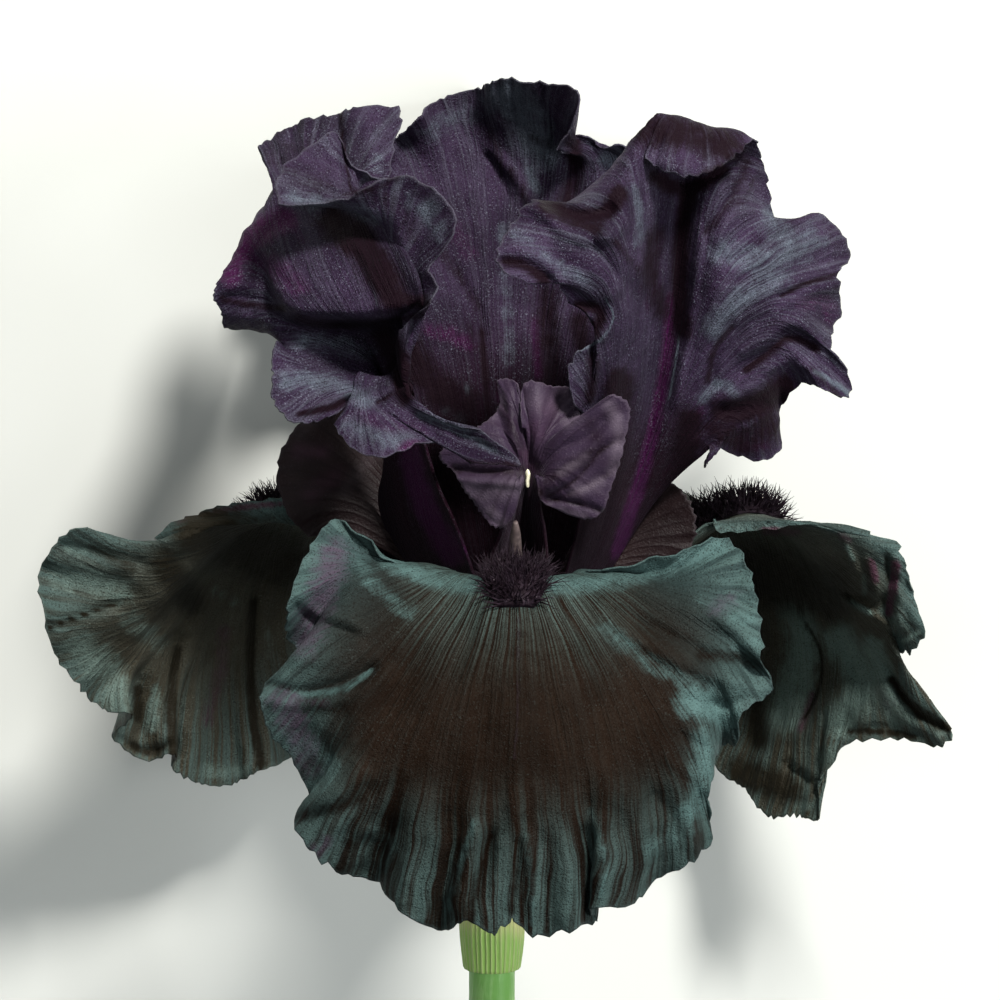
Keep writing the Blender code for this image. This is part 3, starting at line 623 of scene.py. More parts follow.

# %% [markdown]
# ## Finishes: a small workshop for shader nodes
#
# Every finish here is grown from nodes, not from pictures. A petal's cells are tiny cones that
# catch light along their tips, so dark petals look like velvet: deep in the middle, pale where
# light grazes them. A little sheen, a fine grain in the relief and veins that follow the petal's
# own map give that look, helped by painted highlights and painted shade in the colour. The helper
# below keeps the wiring of such a tree short.

# %% Wiring helper


class Finish:
    """A material with its shader, and short ways to add and join nodes."""

    def __init__(self, name, roughness, specular=0.5, **sockets):
        self.material = bpy.data.materials.new(name)
        self.material.use_nodes = True
        self.tree = self.material.node_tree
        self.shader = self.tree.nodes["Principled BSDF"]
        self.shader.inputs["Roughness"].default_value = roughness
        self.shader.inputs["Specular IOR Level"].default_value = specular
        for socket, value in sockets.items():
            self.shader.inputs[socket.replace("_", " ").title()].default_value = value

    def put(self, socket, value):
        """A number or colour is set on the socket, and another node's output is joined to it."""
        if isinstance(value, bpy.types.NodeSocket):
            self.tree.links.new(value, socket)
        elif isinstance(value, tuple) and len(value) == 3 and socket.type == "RGBA":
            socket.default_value = (*value, 1)
        else:
            socket.default_value = value

    def math(self, operation, first, second=0.0, third=0.0):
        node = self.tree.nodes.new("ShaderNodeMath")
        node.operation = operation
        for socket, value in zip(node.inputs, (first, second, third)):
            self.put(socket, value)
        return node.outputs[0]

    def times(self, first, second):
        return self.math("MULTIPLY", first, second)

    def times_plus(self, first, second, third):
        return self.math("MULTIPLY_ADD", first, second, third)

    def span(self, value, low, high, bottom=0.0, top=1.0):
        """A smooth step from bottom to top as the value goes from low to high."""
        node = self.tree.nodes.new("ShaderNodeMapRange")
        node.interpolation_type = "SMOOTHSTEP"
        for socket, given in zip(node.inputs, (value, low, high, bottom, top)):
            self.put(socket, given)
        return node.outputs[0]

    def mix(self, share, first, second):
        node = self.tree.nodes.new("ShaderNodeMix")
        node.data_type = "RGBA"
        self.put(node.inputs["Factor"], share)
        self.put(node.inputs[6], first)
        self.put(node.inputs[7], second)
        return node.outputs[2]

    def noise(self, place, scale, detail=3.0, rough=0.55):
        node = self.tree.nodes.new("ShaderNodeTexNoise")
        settings = {"Vector": place, "Scale": scale, "Detail": detail, "Roughness": rough}
        for socket, value in settings.items():
            self.put(node.inputs[socket], value)
        return node.outputs["Fac"]

    def join(self, x, y, z=0.0):
        node = self.tree.nodes.new("ShaderNodeCombineXYZ")
        for socket, value in zip(node.inputs, (x, y, z)):
            self.put(socket, value)
        return node.outputs[0]

    def ribs(self, across, along, count, warp_across, warp_deep, power):
        """Fine ribs along the petal's own map, bent by a slow noise, and that noise."""
        warp = self.noise(self.join(self.times(across, warp_across), along), 2.0)
        phase = self.times_plus(across, count, self.times(warp, warp_deep))
        wave = self.times_plus(self.math("SINE", phase), 0.5, 0.5)
        return self.math("POWER", wave, power), warp

    def places(self):
        return self.tree.nodes.new("ShaderNodeTexCoord").outputs["Object"]

    def petal_map(self):
        """Across and along the petal, both from 0 to 1, read from its own map."""
        read = self.tree.nodes.new("ShaderNodeUVMap")
        read.uv_map = "petal"
        split = self.tree.nodes.new("ShaderNodeSeparateXYZ")
        self.tree.links.new(read.outputs[0], split.inputs[0])
        return split.outputs[0], split.outputs[1]

    def tint_weights(self):
        """How much painted shade, painted highlight and painted glow each spot carries, read from the
        blade.
        """
        read = self.tree.nodes.new("ShaderNodeAttribute")
        read.attribute_name = "tint"
        split = self.tree.nodes.new("ShaderNodeSeparateColor")
        self.tree.links.new(read.outputs["Color"], split.inputs[0])
        return [split.outputs[channel] for channel in range(3)]

    def relief(self, height, deep):
        node = self.tree.nodes.new("ShaderNodeBump")
        node.inputs["Distance"].default_value = deep
        node.inputs["Strength"].default_value = 1.0
        self.put(node.inputs["Height"], height)
        self.tree.links.new(node.outputs[0], self.shader.inputs["Normal"])

    def colour(self, value):
        self.put(self.shader.inputs["Base Color"], value)


print("finishes are grown from nodes")

# %% [markdown]
# ## Velvet petals
#
# Standards and falls share one recipe. Veins follow lines of equal place, warped by a slow noise
# so that no two run alike. Patches a few millimetres wide shift the colour, and a fine grain
# breaks it into cells, some of them painted pale as sparkling highlights. The last sliver at the
# margin is painted paler, a painted rim of light as if the thin blade let light through. Over that
# go three tints, read from the blade itself: painted shade in the hollows and under rims, which
# also deepens the claws' own dark colour; painted highlight and sheen where light falls; and a
# painted glow of magenta where light would come through, with the claws' own magenta. Noise is
# measured in waves to the metre, and streaks are counted across the petal.

# %% The velvet recipe
PATCHES, FLECKS, CELLS, DRIFT = 90.0, 420.0, 3600.0, 60.0
VEINS, FINE_STREAKS, BOLD_STREAKS = 60.0, 300.0, 190.0
VELVET_ROUGHNESS, VELVET_SHEEN, SHEEN_ROUGHNESS = 0.46, 0.012, 0.4
VELVET_DEPTH = 0.00036


def velvet(name, zones, deep, patch, lit, rim, tints, sheen, specular, streaky, frost):
    """A petal's finish. The tints are painted shade (deep), painted highlight (pale) and painted glow
    (glow), and zones changes the ground colour.

    Lit is a pale colour: streaky says how much of it veins and fine streaks take, and frost how much of
    it is painted on the grain's cells as sparkling highlights.
    """
    finish = Finish(
        name, VELVET_ROUGHNESS, specular,
        sheen_weight=VELVET_SHEEN, sheen_roughness=SHEEN_ROUGHNESS, sheen_tint=(*sheen, 1),
    )
    across, along = finish.petal_map()
    place = finish.places()
    broad = finish.noise(place, PATCHES, 4.0, 0.6)
    middle = finish.noise(place, FLECKS, 3.0, 0.65)
    grain = finish.noise(place, CELLS, 1.5, 0.7)
    bent = finish.times_plus(finish.noise(place, DRIFT, 2.0), 0.02, across)

    def streaks(count, length, detail):
        spot = finish.join(finish.times(bent, count), finish.times(along, length))
        return finish.noise(spot, 1.0, detail, 0.6)

    def tinted(before, weight, tint):
        """The tint laid on in ragged patches, as a brush leaves it."""
        ragged = finish.span(finish.math("ADD", weight, broken), 0.1, 0.9)
        return finish.mix(finish.times(ragged, finish.span(weight, 0.03, 0.3)), before, tint)

    off_ridge = finish.math("ABSOLUTE", finish.times_plus(streaks(VEINS, 1.6, 1.0), 2.0, -1.0))
    veins = finish.math("POWER", finish.math("SUBTRACT", 1.0, off_ridge), 14.0)
    fine = streaks(FINE_STREAKS, 3.6, 2.0)
    bold = streaks(BOLD_STREAKS, 1.8, 3.0)
    broken = finish.times_plus(middle, 0.8, finish.times_plus(fine, 0.8, -0.8))
    deepest, palest, glowing = finish.tint_weights()
    colour = finish.mix(finish.span(broad, 0.35, 0.68), deep, patch)
    colour = zones(finish, colour, across, along, bold)
    # Painted highlight (pale tint) and painted glow (glow tint), laid where the blade's strokes say.
    colour = tinted(tinted(colour, palest, tints[1]), glowing, tints[2])
    colour = finish.mix(finish.times(finish.span(fine, 0.5, 0.8), streaky), colour, lit)
    colour = finish.mix(finish.times(veins, 0.7 * streaky), colour, lit)
    # Painted sparkle: past the claw, grain cells are painted in the lit colour as highlights.
    past_claw = finish.span(along, 0.14, 0.42, 0.2, 1.0)
    painted_sparkle = finish.times(finish.span(middle, 0.35, 0.65, 0.2 * frost, frost), past_claw)
    colour = finish.mix(finish.times(finish.span(grain, 0.56, 0.76), painted_sparkle), colour, lit)
    colour = finish.mix(finish.times(finish.span(grain, 0.47, 0.32), 0.65), colour, tints[0])
    # A painted rim of light along the last sliver of the margin.
    colour = finish.mix(finish.times(finish.span(along, 0.992, 1.0), 0.35), colour, rim)
    # Painted shade (deep tint) goes on last, where the blade's strokes say.
    finish.colour(tinted(colour, deepest, tints[0]))
    height = finish.times_plus(grain, 0.6, finish.times_plus(veins, 0.35, finish.times(fine, 0.5)))
    finish.relief(finish.times_plus(middle, 1.1, height), VELVET_DEPTH)
    return finish.material


print("one recipe for every velvet")

# %% Velvet of the standards
STREAK_GREY, CLAW_BLACK = (0.085, 0.092, 0.115), (0.0060, 0.0006, 0.0028)


def standard_zones(finish, colour, across, along, bold):
    """Red-black at the claw, its own dark colour deepened by painted shade, and grey streaks that run up
    to the margin.
    """
    streaks = finish.times(finish.span(along, 0.5, 0.85), finish.span(bold, 0.5, 0.66))
    colour = finish.mix(finish.times(streaks, 0.24), colour, STREAK_GREY)
    # The claw's red-black: its own colour, partly painted shade where it lies deep in the bloom.
    claw = finish.span(along, 0.46, 0.26)
    return finish.mix(claw, colour, CLAW_BLACK)


standard_velvet = velvet(
    "standard velvet", standard_zones,
    deep=(0.0100, 0.0055, 0.0136), patch=(0.0225, 0.0135, 0.0300), lit=(0.130, 0.137, 0.172),
    rim=(0.060, 0.058, 0.072),
    tints=((0.0056, 0.0024, 0.0042), (0.056, 0.067, 0.084), (0.025, 0.0018, 0.022)),
    sheen=(0.60, 0.60, 0.75), specular=0.02, streaky=0.10, frost=0.65,
)
print("velvet:", standard_velvet.name)

# %% Velvet of the falls
PAINTED_SHEEN_SLATE, MARGIN_STREAK_SHEEN, RAY_PALE = (0.020, 0.036, 0.036), (0.047, 0.078, 0.074), (0.058, 0.088, 0.080)


def fall_zones(finish, colour, across, along, bold):
    """Brown-black in the middle, painted slate-green sheen at the shoulders and margin, painted teal
    sheen on streaks at the margin, pale rays at the beard.
    """
    side = finish.math("ABSOLUTE", finish.math("SUBTRACT", across, 0.5))
    outer = finish.times_plus(side, 1.5, finish.times(along, 0.6))
    # Painted sheen: slate green towards the shoulders and margin.
    colour = finish.mix(finish.times(finish.span(outer, 0.66, 1.15), 0.8), colour, PAINTED_SHEEN_SLATE)
    streaks = finish.times(finish.span(along, 0.72, 0.97), finish.span(bold, 0.40, 0.60))
    # Painted sheen: teal on the bold streaks near the margin.
    colour = finish.mix(finish.times(streaks, 0.65), colour, MARGIN_STREAK_SHEEN)
    near_beard = finish.times(finish.span(along, 0.34, 0.46), finish.span(along, 0.64, 0.46))
    rays = finish.times(near_beard, finish.span(bold, 0.42, 0.62))
    return finish.mix(finish.times(rays, 0.65), colour, RAY_PALE)


FALL_SHEEN = (0.50, 0.66, 0.64)
fall_velvet = velvet(
    "fall velvet", fall_zones,
    deep=(0.0052, 0.0028, 0.0017), patch=(0.0088, 0.0052, 0.0034), lit=(0.052, 0.066, 0.062),
    rim=(0.035, 0.05, 0.05),
    tints=((0.0042, 0.0023, 0.0014), (0.048, 0.085, 0.082), (0.040, 0.028, 0.043)),
    sheen=FALL_SHEEN, specular=0.01, streaky=0.05, frost=0.3,
)
# The side falls get a lighter copy of the fall velvet: painted light, as they lie turned away from the
# key light.
lightened_side_fall_velvet = velvet(
    "side fall velvet painted lighter", fall_zones,
    deep=(0.025, 0.0215, 0.0145), patch=(0.037, 0.034, 0.0245), lit=(0.115, 0.140, 0.122),
    rim=(0.06, 0.08, 0.07),
    tints=((0.0085, 0.0072, 0.0046), (0.088, 0.128, 0.114), (0.040, 0.016, 0.027)),
    sheen=FALL_SHEEN, specular=0.03, streaky=0.06, frost=0.55,
)
print("velvets:", fall_velvet.name, "and", lightened_side_fall_velvet.name)

# %% [markdown]
# ## Crests, bristles, green and paper
#
# The style arms are satin rather than velvet: paler, mauve-grey and finely lined. Beards are
# black-purple with a few paler specks. Stem, ovary and tube are fresh green flushed with
# purple above. The spathe valves dry from the tip down, so tan paper meets a thin green base.

# %% Satin of the style arms
SATIN_SHEEN = (0.8, 0.7, 0.9, 1)


def satin(name, base, crest, line, tints):
    """A style arm's finish. The tints are painted shade (deep), painted highlight (pale) and painted glow
    (glow), as on the petals.
    """
    finish = Finish(name, 0.45, 0.08, sheen_weight=0.03, sheen_roughness=0.35, sheen_tint=SATIN_SHEEN)
    across, along = finish.petal_map()
    place = finish.places()
    grain = finish.noise(place, 2600.0, 2.0, 0.7)
    veins, _ = finish.ribs(across, along, 190.0, 5.0, 9.0, 3.0)
    body = finish.mix(finish.span(along, 0.35, 0.8), base, crest)
    uneven = finish.span(finish.noise(place, 500.0, 3.0, 0.6), 0.3, 0.7, 0.6, 1.1)
    for weight, tint in zip(finish.tint_weights(), tints):
        share = finish.math("MINIMUM", finish.times(weight, uneven), 1.0)
        body = finish.mix(share, body, tint)
    colour = finish.mix(finish.times(veins, 0.35), body, line)
    # Painted sparkle: grain cells painted in the pale tint as highlights.
    colour = finish.mix(finish.times(finish.span(grain, 0.55, 0.75), 0.3), colour, tints[1])
    # A painted rim of light along the margin, in the pale tint.
    colour = finish.mix(finish.times(finish.span(along, 0.985, 1.0), 0.3), colour, tints[1])
    finish.colour(colour)
    finish.relief(finish.times_plus(veins, 0.6, grain), 0.00014)
    return finish.material


style_satin = satin(
    "style satin", base=(0.010, 0.003, 0.005), crest=(0.019, 0.0115, 0.023), line=(0.013, 0.0065, 0.0135),
    tints=((0.0045, 0.0018, 0.0032), (0.070, 0.054, 0.072), (0.040, 0.018, 0.036)),
)
# The side style arms get a darker brown-purple copy of the satin: painted shade, as they lie deep in the
# bloom.
shaded_satin = satin(
    "shaded satin", base=(0.008, 0.003, 0.003), crest=(0.010, 0.0055, 0.006), line=(0.005, 0.0025, 0.003),
    tints=((0.004, 0.0016, 0.0018), (0.034, 0.026, 0.030), (0.026, 0.011, 0.019)),
)
print("satins:", style_satin.name, "and", shaded_satin.name)

# %% Bristle, green and paper


def bristle_finish():
    """Near-black, with a few paler specks scattered through it."""
    finish = Finish("beard bristle", 0.6, 0.06, sheen_weight=0.01, sheen_tint=(0.6, 0.5, 0.8, 1))
    speck = finish.noise(finish.places(), 900.0, 2.0)
    colour = finish.mix(finish.span(speck, 0.4, 0.7), (0.0045, 0.002, 0.0035), (0.017, 0.011, 0.016))
    finish.colour(finish.mix(finish.span(speck, 0.68, 0.76), colour, (0.09, 0.07, 0.08)))
    return finish.material


def green_finish():
    """Fresh green with pale lines that run along the stem."""
    finish = Finish("fresh green", 0.42)
    place = finish.places()
    stretch = finish.tree.nodes.new("ShaderNodeMapping")
    stretch.inputs["Scale"].default_value = (900.0, 60.0, 900.0)
    finish.tree.links.new(place, stretch.inputs["Vector"])
    lines = finish.noise(stretch.outputs[0], 1.0, 3.0)
    blotch = finish.noise(place, 180.0, 3.0)
    colour = finish.mix(finish.span(blotch, 0.35, 0.7), (0.13, 0.32, 0.06), (0.20, 0.42, 0.11))
    pale_lines = finish.times(finish.span(lines, 0.5, 0.65), 0.4)
    finish.colour(finish.mix(pale_lines, colour, (0.32, 0.52, 0.20)))
    finish.relief(lines, 0.00015)
    return finish.material


def paper_finish():
    """Green below and tan above, finely ribbed."""
    finish = Finish("spathe paper", 0.75, sheen_weight=0.1)
    across, along = finish.petal_map()
    ribs, warp = finish.ribs(across, along, 150.0, 4.0, 4.0, 2.0)
    dry = finish.span(finish.times_plus(warp, 0.25, along), 0.38, 0.64)
    colour = finish.mix(dry, (0.24, 0.42, 0.08), (0.50, 0.50, 0.20))
    finish.colour(finish.mix(finish.times(ribs, 0.35), colour, (0.58, 0.58, 0.30)))
    finish.relief(ribs, 0.0002)
    return finish.material


def plain_finish(name, dark, pale, scale, roughness, deep):
    """Two tones that drift into each other, with a relief of the same pattern."""
    finish = Finish(name, roughness)
    patches = finish.noise(finish.places(), scale, 3.0)
    finish.colour(finish.mix(finish.span(patches, 0.35, 0.7), dark, pale))
    finish.relief(patches, deep)
    return finish.material


bristle = bristle_finish()
green = green_finish()
paper = paper_finish()
tube_green = plain_finish("tube flush", (0.07, 0.03, 0.05), (0.16, 0.19, 0.09), 260.0, 0.45, 0.00012)
anther = plain_finish("anther", (0.035, 0.022, 0.022), (0.075, 0.052, 0.050), 900.0, 0.7, 0.0001)
stigma_pale = plain_finish("stigma lip", (0.40, 0.38, 0.27), (0.56, 0.54, 0.42), 1200.0, 0.5, 0.00005)
print("finishes:", len(bpy.data.materials))

# %% [markdown]
# ## The petals
#
# Each petal is read finely, given its folds and its ruffle, and closed into a blade. The folds
# are the ones that the viewer sees on this bloom: the deep midrib of the right standard, the
# pleats that hang from the front fall's shoulders, the crumple of the right fall. A stroke is a
# line of seen places, its width, then its height. Where petals lie behind each other, the
# furthest and nearest depth that it may touch follow.

# %% Folds of each petal
FOLDS = {
    "standard_left": [
        # pale midrib of the belly and the hollow beside it
        ([(-32.5, 77), (-27, 73), (-23.5, 68.5), (-22, 62)], 1, 0.3, (20, 42)),
        ([(-30.5, 78.5), (-23.5, 74.5), (-19, 69), (-17, 63)], 2.1, -1.6, (20, 42)),
        # front edge of the belly, sharp above, hollow below
        ([(-38.5, 62.5), (-30, 61), (-22, 62), (-13.5, 63)], 1.1, 1.5, (15, 42)),
        ([(-37.5, 59.5), (-30, 58.5), (-21.5, 59), (-15.5, 60.5)], 1.8, -1.8, (15, 42)),
        # pleats of the left edge
        ([(-48.5, 64), (-43.5, 63.5), (-38.5, 62.5)], 0.8, -0.7),
        ([(-48, 66), (-42.5, 65.5), (-37, 64.5)], 0.8, 0.5),
        ([(-47.5, 61), (-43.5, 60.5), (-39, 59.5)], 0.8, 0.5),
        ([(-46, 71.5), (-41.5, 69.5), (-37, 66)], 1, -0.4),
        # crown
        ([(-29, 94.5), (-28.5, 88), (-27, 81)], 0.8, -1.1),
        ([(-30.5, 94), (-30, 88), (-28.5, 81.5)], 1, 0.7),
        ([(-35.5, 92), (-37.5, 88.5), (-38.5, 85.5)], 1, -0.6),
        ([(-24.5, 94.5), (-24, 88), (-23.5, 83)], 1.1, 0.45),
        ([(-34.5, 88), (-33.5, 84), (-32.5, 80.5)], 1, 0.4),
        # upper lobe
        ([(-19, 79.5), (-19.5, 75.5), (-18, 70.5), (-16, 66.5)], 1.3, 0.6),
        ([(-14, 79), (-15, 75), (-16, 71.5)], 1, -0.5),
        ([(-21.5, 81.5), (-24, 79), (-26.5, 77.5)], 1.1, -0.6),
        ([(-14.5, 68), (-12.5, 66), (-13.5, 63.5)], 0.8, 0.5),
        # lower lobe
        ([(-32.5, 44), (-28, 46), (-21, 48.5)], 1, 1),
        ([(-35.5, 45), (-30.5, 47), (-23, 49.5)], 1, -0.9),
        ([(-22, 46.5), (-19.5, 48.5), (-17.5, 50)], 0.7, -0.6),
        ([(-27, 47), (-23.5, 43.5), (-21, 39.5)], 1.6, 0.8),
        ([(-19, 47), (-15.5, 43.5), (-12.5, 40.5)], 1.3, -0.7),
        ([(-35.5, 55), (-32, 52.5), (-26.5, 50.5)], 1.5, 0.5),
        ([(-15.5, 45), (-9, 43), (-1.5, 38)], 1, 0.5),
    ],
    "standard_right": [
        # deep midrib
        ([(28.5, 81.5), (27.5, 73), (26.5, 63.5), (24.5, 53.5), (22, 43.5), (19, 32)], 1.8, -1.6),
        ([(30.5, 75), (29.5, 65), (28, 55), (26.5, 47)], 0.8, 0.9),
        ([(23, 81.5), (20.5, 73), (22.5, 63.5)], 2, 0.9),
        # left wing
        ([(3.5, 79), (7.5, 75), (12.5, 73), (17, 75)], 1, 1.6),
        ([(5.5, 79.5), (10.5, 77.5), (15.5, 78)], 1.5, -2.4),
        ([(12.5, 73), (16, 68.5), (20.5, 63.5), (23, 58.5)], 1, -0.9),
        ([(15, 74), (19, 69.5), (22.5, 65)], 1, 0.7),
        ([(7.5, 73), (12.5, 68.5), (18, 61.5)], 1.1, 0.5),
        ([(-2, 69.5), (1.5, 69), (5.5, 67)], 1.1, -1.1),
        ([(-3, 71.5), (1, 71.5), (5, 69.5), (7.5, 66)], 0.7, 0.6),
        ([(10, 63), (13.5, 61.5), (12.5, 57.5)], 1.3, -1.4),
        ([(16, 63.5), (15, 58.5), (10.5, 55)], 0.8, 0.8),
        ([(20.5, 86.5), (22.5, 81.5), (22, 75.5)], 1.1, 0.5),
        ([(19, 79.5), (20, 75), (22, 71.5)], 1, -0.5),
        # fan of the right wing
        ([(31, 74.5), (35, 79.5), (38, 85.5)], 1, -1),
        ([(33, 73), (37, 79), (40, 84.5)], 0.8, 0.7),
        ([(34, 70.5), (39, 77), (41.5, 80.5)], 0.8, -0.5),
        ([(35, 69.5), (42.5, 73.5), (50.5, 76)], 0.8, -0.6),
        ([(36, 68), (44.5, 71.5), (52, 74.5)], 0.8, 0.5),
        ([(43.5, 64), (47.5, 66), (53, 67.5)], 0.7, -1.1),
        ([(44.5, 62.5), (48.5, 64.5), (53.5, 65.5)], 0.8, 0.6),
        ([(32.5, 49.5), (33, 55), (35.5, 59)], 0.8, -0.8),
        ([(37, 51.5), (41.5, 55), (45, 57.5), (48.5, 55.5)], 1, -1.3),
        ([(37.5, 55), (42, 57.5), (45.5, 59.5), (50.5, 57.5)], 1, 0.9),
        ([(38.5, 49), (42.5, 52), (46, 54)], 0.8, 0.7),
        ([(33, 46.5), (37.5, 48), (42, 49.5)], 1, 0.5),
        ([(34.5, 45), (39.5, 46), (44, 46.5)], 1.3, -1),
        ([(30, 41.5), (32, 43.5), (34, 46)], 0.7, -0.6),
        ([(46.5, 52.5), (51, 50), (54.5, 48)], 0.8, 0.8),
        # lip
        ([(23, 84.5), (27.5, 82.5), (32.5, 83.5), (36.5, 86.5)], 0.8, -1.4),
        ([(25, 92.5), (25.5, 88.5), (26.5, 85)], 1.3, 0.5),
        ([(32.5, 91.5), (32.5, 88), (31.5, 85.5)], 0.8, -0.7),
        ([(30.5, 92), (30, 88), (29.5, 85.5)], 1, 0.4),
    ],
    "standard_back": [
        ([(-4, 88), (-1, 85), (2.5, 79.5)], 0.8, 1.2),
        ([(-4.5, 87), (-3, 84.5), (-1, 80)], 1.1, -1.3),
        ([(5, 97.5), (6, 93.5), (6.5, 88)], 1, -1.6),
        ([(3.5, 97.5), (4.5, 93), (5, 88)], 1, 0.9),
        ([(8.5, 91), (9, 87), (9.5, 80.5)], 2, -2),
        ([(-1.5, 94.5), (-0.5, 89.5), (1, 84)], 1.3, 0.6),
        ([(-12.5, 93), (-11.5, 86.5), (-10.5, 79.5)], 1.5, 0.5),
        ([(-6, 79.5), (-4, 70), (-2.5, 58.5), (-1.5, 48.5)], 1.6, 0.8),
        ([(-14, 74), (-10.5, 69.5), (-7.5, 63.5)], 1.3, -1),
        ([(-12, 71.5), (-9, 69.5), (-6, 68.5)], 0.8, 0.6),
        ([(-10, 65), (-6.5, 63.5), (-5.5, 58.5)], 1, -0.9),
        ([(4, 65), (5, 58.5), (5.5, 51)], 2, -1.4),
        ([(13.5, 88), (14, 84.5), (13.5, 81.5)], 1.1, 0.7),
    ],
    "fall_front": [
        ([(-35.5, 14.5), (-32.5, 12), (-28, 11), (-23.5, 8.5)], 1, 1.1),
        ([(-35.5, 13), (-31.5, 10), (-27, 8.5)], 1.1, -1.1),
        ([(-41.5, 0.5), (-35.5, -1), (-28, 0.5), (-23.5, 3)], 1, -1.9),
        ([(-41.5, -1.5), (-35.5, -2.5), (-27, -1.5), (-21.5, 1.5)], 1.1, 1),
        ([(-35.5, 5), (-30.5, 4.5), (-25, 6)], 1.5, 0.7),
        ([(-29.5, 27), (-24.5, 21.5), (-19.5, 14)], 1.1, -0.7),
        ([(-26.5, 25.5), (-22, 19), (-17, 12)], 1.3, 0.5),
        ([(-35.5, -18.5), (-30.5, -18), (-25.5, -14.5)], 1.5, 1),
        ([(-36, -22.5), (-30.5, -21), (-24, -17)], 1.5, -1),
        ([(-28, -29.5), (-26.5, -26.5), (-24.5, -23.5)], 1.3, 0.8),
        ([(-24.5, -30.5), (-22, -27), (-20, -23.5)], 1.3, -0.9),
        # bottom pleats
        ([(-17.5, -37), (-16.5, -32), (-15, -25.5)], 1, -1),
        ([(-15, -38), (-13.5, -32), (-11.5, -25.5)], 0.8, 0.9),
        ([(-12.5, -39), (-11, -32), (-9, -23.5)], 0.8, -0.8),
        ([(-10.5, -39.5), (-8.5, -32), (-6, -23)], 0.8, 1.2),
        ([(-7.5, -39), (-6, -32), (-4, -24.5)], 1.1, -1.5),
        ([(-5, -40), (-3.5, -33.5), (-2, -26)], 1, 0.8),
        ([(-0.5, -37.5), (0, -32), (0.5, -25.5)], 1.1, -1.3),
        ([(3, -40.5), (3, -33.5), (2, -25.5)], 1.1, 0.9),
        ([(6.5, -40), (5.5, -33.5), (5, -25.5)], 1, -0.7),
        ([(9.5, -39.5), (9.5, -33.5), (8, -25.5)], 1, 0.8),
        ([(11.5, -37.5), (12.5, -32), (11, -23.5)], 0.8, -1),
        ([(14.5, -36.5), (14.5, -30), (13, -22)], 1.1, 1.1),
        ([(19.5, -35), (19, -28.5), (16.5, -20.5)], 1.1, -1),
        ([(23, -32), (22, -25.5), (20, -18.5)], 1.3, 0.7),
        ([(28.5, -29), (26.5, -23.5), (23, -18)], 1.1, -0.6),
        # right shoulder
        ([(14, 12), (22, 6.5), (30.5, 2.5), (41, -0.5)], 1.1, 1.3),
        ([(20.5, 10.5), (28.5, 6.5), (36, 3.5), (41, 3)], 1.5, -1.3),
        ([(28.5, 12), (34.5, 11), (39, 12)], 1.1, 0.7),
        ([(28.5, 9), (34.5, 8), (39.5, 9)], 1, -0.6),
        ([(32.5, 14), (36, 16.5), (37.5, 19.5)], 0.7, -0.9),
        ([(27, 19), (30.5, 20.5), (33, 22)], 0.7, -0.6),
        ([(28.5, -2.5), (33.5, -3), (37.5, -2.5)], 1, -1),
        ([(27, -8), (31, -10), (34.5, -10.5)], 1.1, -0.8),
        ([(25.5, -12), (29.5, -15), (31.5, -17)], 1.1, 0.7),
        ([(0.5, 12), (0.5, 1), (0.5, -12), (0, -22)], 1.1, 0.35),
    ],
    "fall_left": [
        ([(-76.5, 9.5), (-71.5, 11.5), (-65.5, 13.5)], 0.8, -1),
        ([(-76, 11.5), (-70.5, 13.5), (-65, 15)], 1, 0.6),
        ([(-77, 22), (-71.5, 20.5), (-64, 19.5)], 1, 0.9),
        ([(-74.5, 23), (-69, 22), (-61.5, 20.5)], 1.1, -1),
        ([(-62, 1), (-62, -3), (-61.5, -8)], 1.1, -1.3),
        ([(-59, 4.5), (-58.5, -2.5), (-58.5, -9)], 1.5, 0.9),
        ([(-55.5, 7.5), (-56.5, -0.5), (-56.5, -10.5)], 1.3, -1.7),
        ([(-51, 15.5), (-52.5, 7.5), (-53.5, -2.5), (-53.5, -14)], 1.6, 1),
        ([(-46.5, 15.5), (-46, 6), (-45, -4), (-44, -14)], 1.1, 0.8),
        ([(-43, 15.5), (-43.5, 6), (-43, -4), (-42, -12)], 1.1, -1.7),
        ([(-65, -9), (-61.5, -10.5), (-57, -10)], 1, -1.2),
        ([(-63, 19), (-58, 14), (-54, 10)], 1.3, 0.5),
    ],
    "fall_right": [
        ([(44.5, -11.5), (47.5, -13.5), (50.5, -15.5)], 0.7, 0.8),
        ([(45, -13), (47.5, -15), (49.5, -16.5)], 1.1, -1.4),
        ([(48.5, -9.5), (52, -8), (55, -5.5)], 1, -0.8),
        ([(48, 11), (50.5, 6), (50, -0.5), (47.5, -5.5)], 0.7, -0.9),
        ([(46, 11), (48, 5), (46.5, -2.5), (43.5, -9)], 1.3, 0.5),
        ([(52, 12.5), (54.5, 6), (58, -2.5)], 0.7, -0.6),
        ([(54, 13), (57.5, 6), (61.5, -1.5)], 0.7, 0.5),
        ([(56, 12.5), (60, 6), (64, -2.5)], 0.7, -0.6),
        ([(50, 10.5), (52.5, 4.5), (54.5, -3)], 0.7, 0.4),
        ([(54, 14.5), (58, 12), (62.5, 9.5)], 0.7, 1.1),
        ([(55, 15.5), (58.5, 14.5), (61.5, 14)], 1.1, -1.2),
        ([(58, 20.5), (59, 17.5), (59.5, 14)], 0.8, 0.9),
        ([(61, 21.5), (61.5, 16.5), (61, 12)], 0.8, -1.1),
        ([(63, 20.5), (63, 15.5), (63, 10)], 0.8, 0.9),
        ([(62, 3), (64.5, -2), (69, -6), (71.5, -7)], 0.8, -1.6),
        ([(60.5, -0.5), (64, -5.5), (69.5, -8)], 1, 0.9),
        ([(55, -7.5), (60.5, -7), (66.5, -8)], 1, -0.9),
        ([(54, 24), (55, 21.5), (56, 19)], 0.8, 0.7),
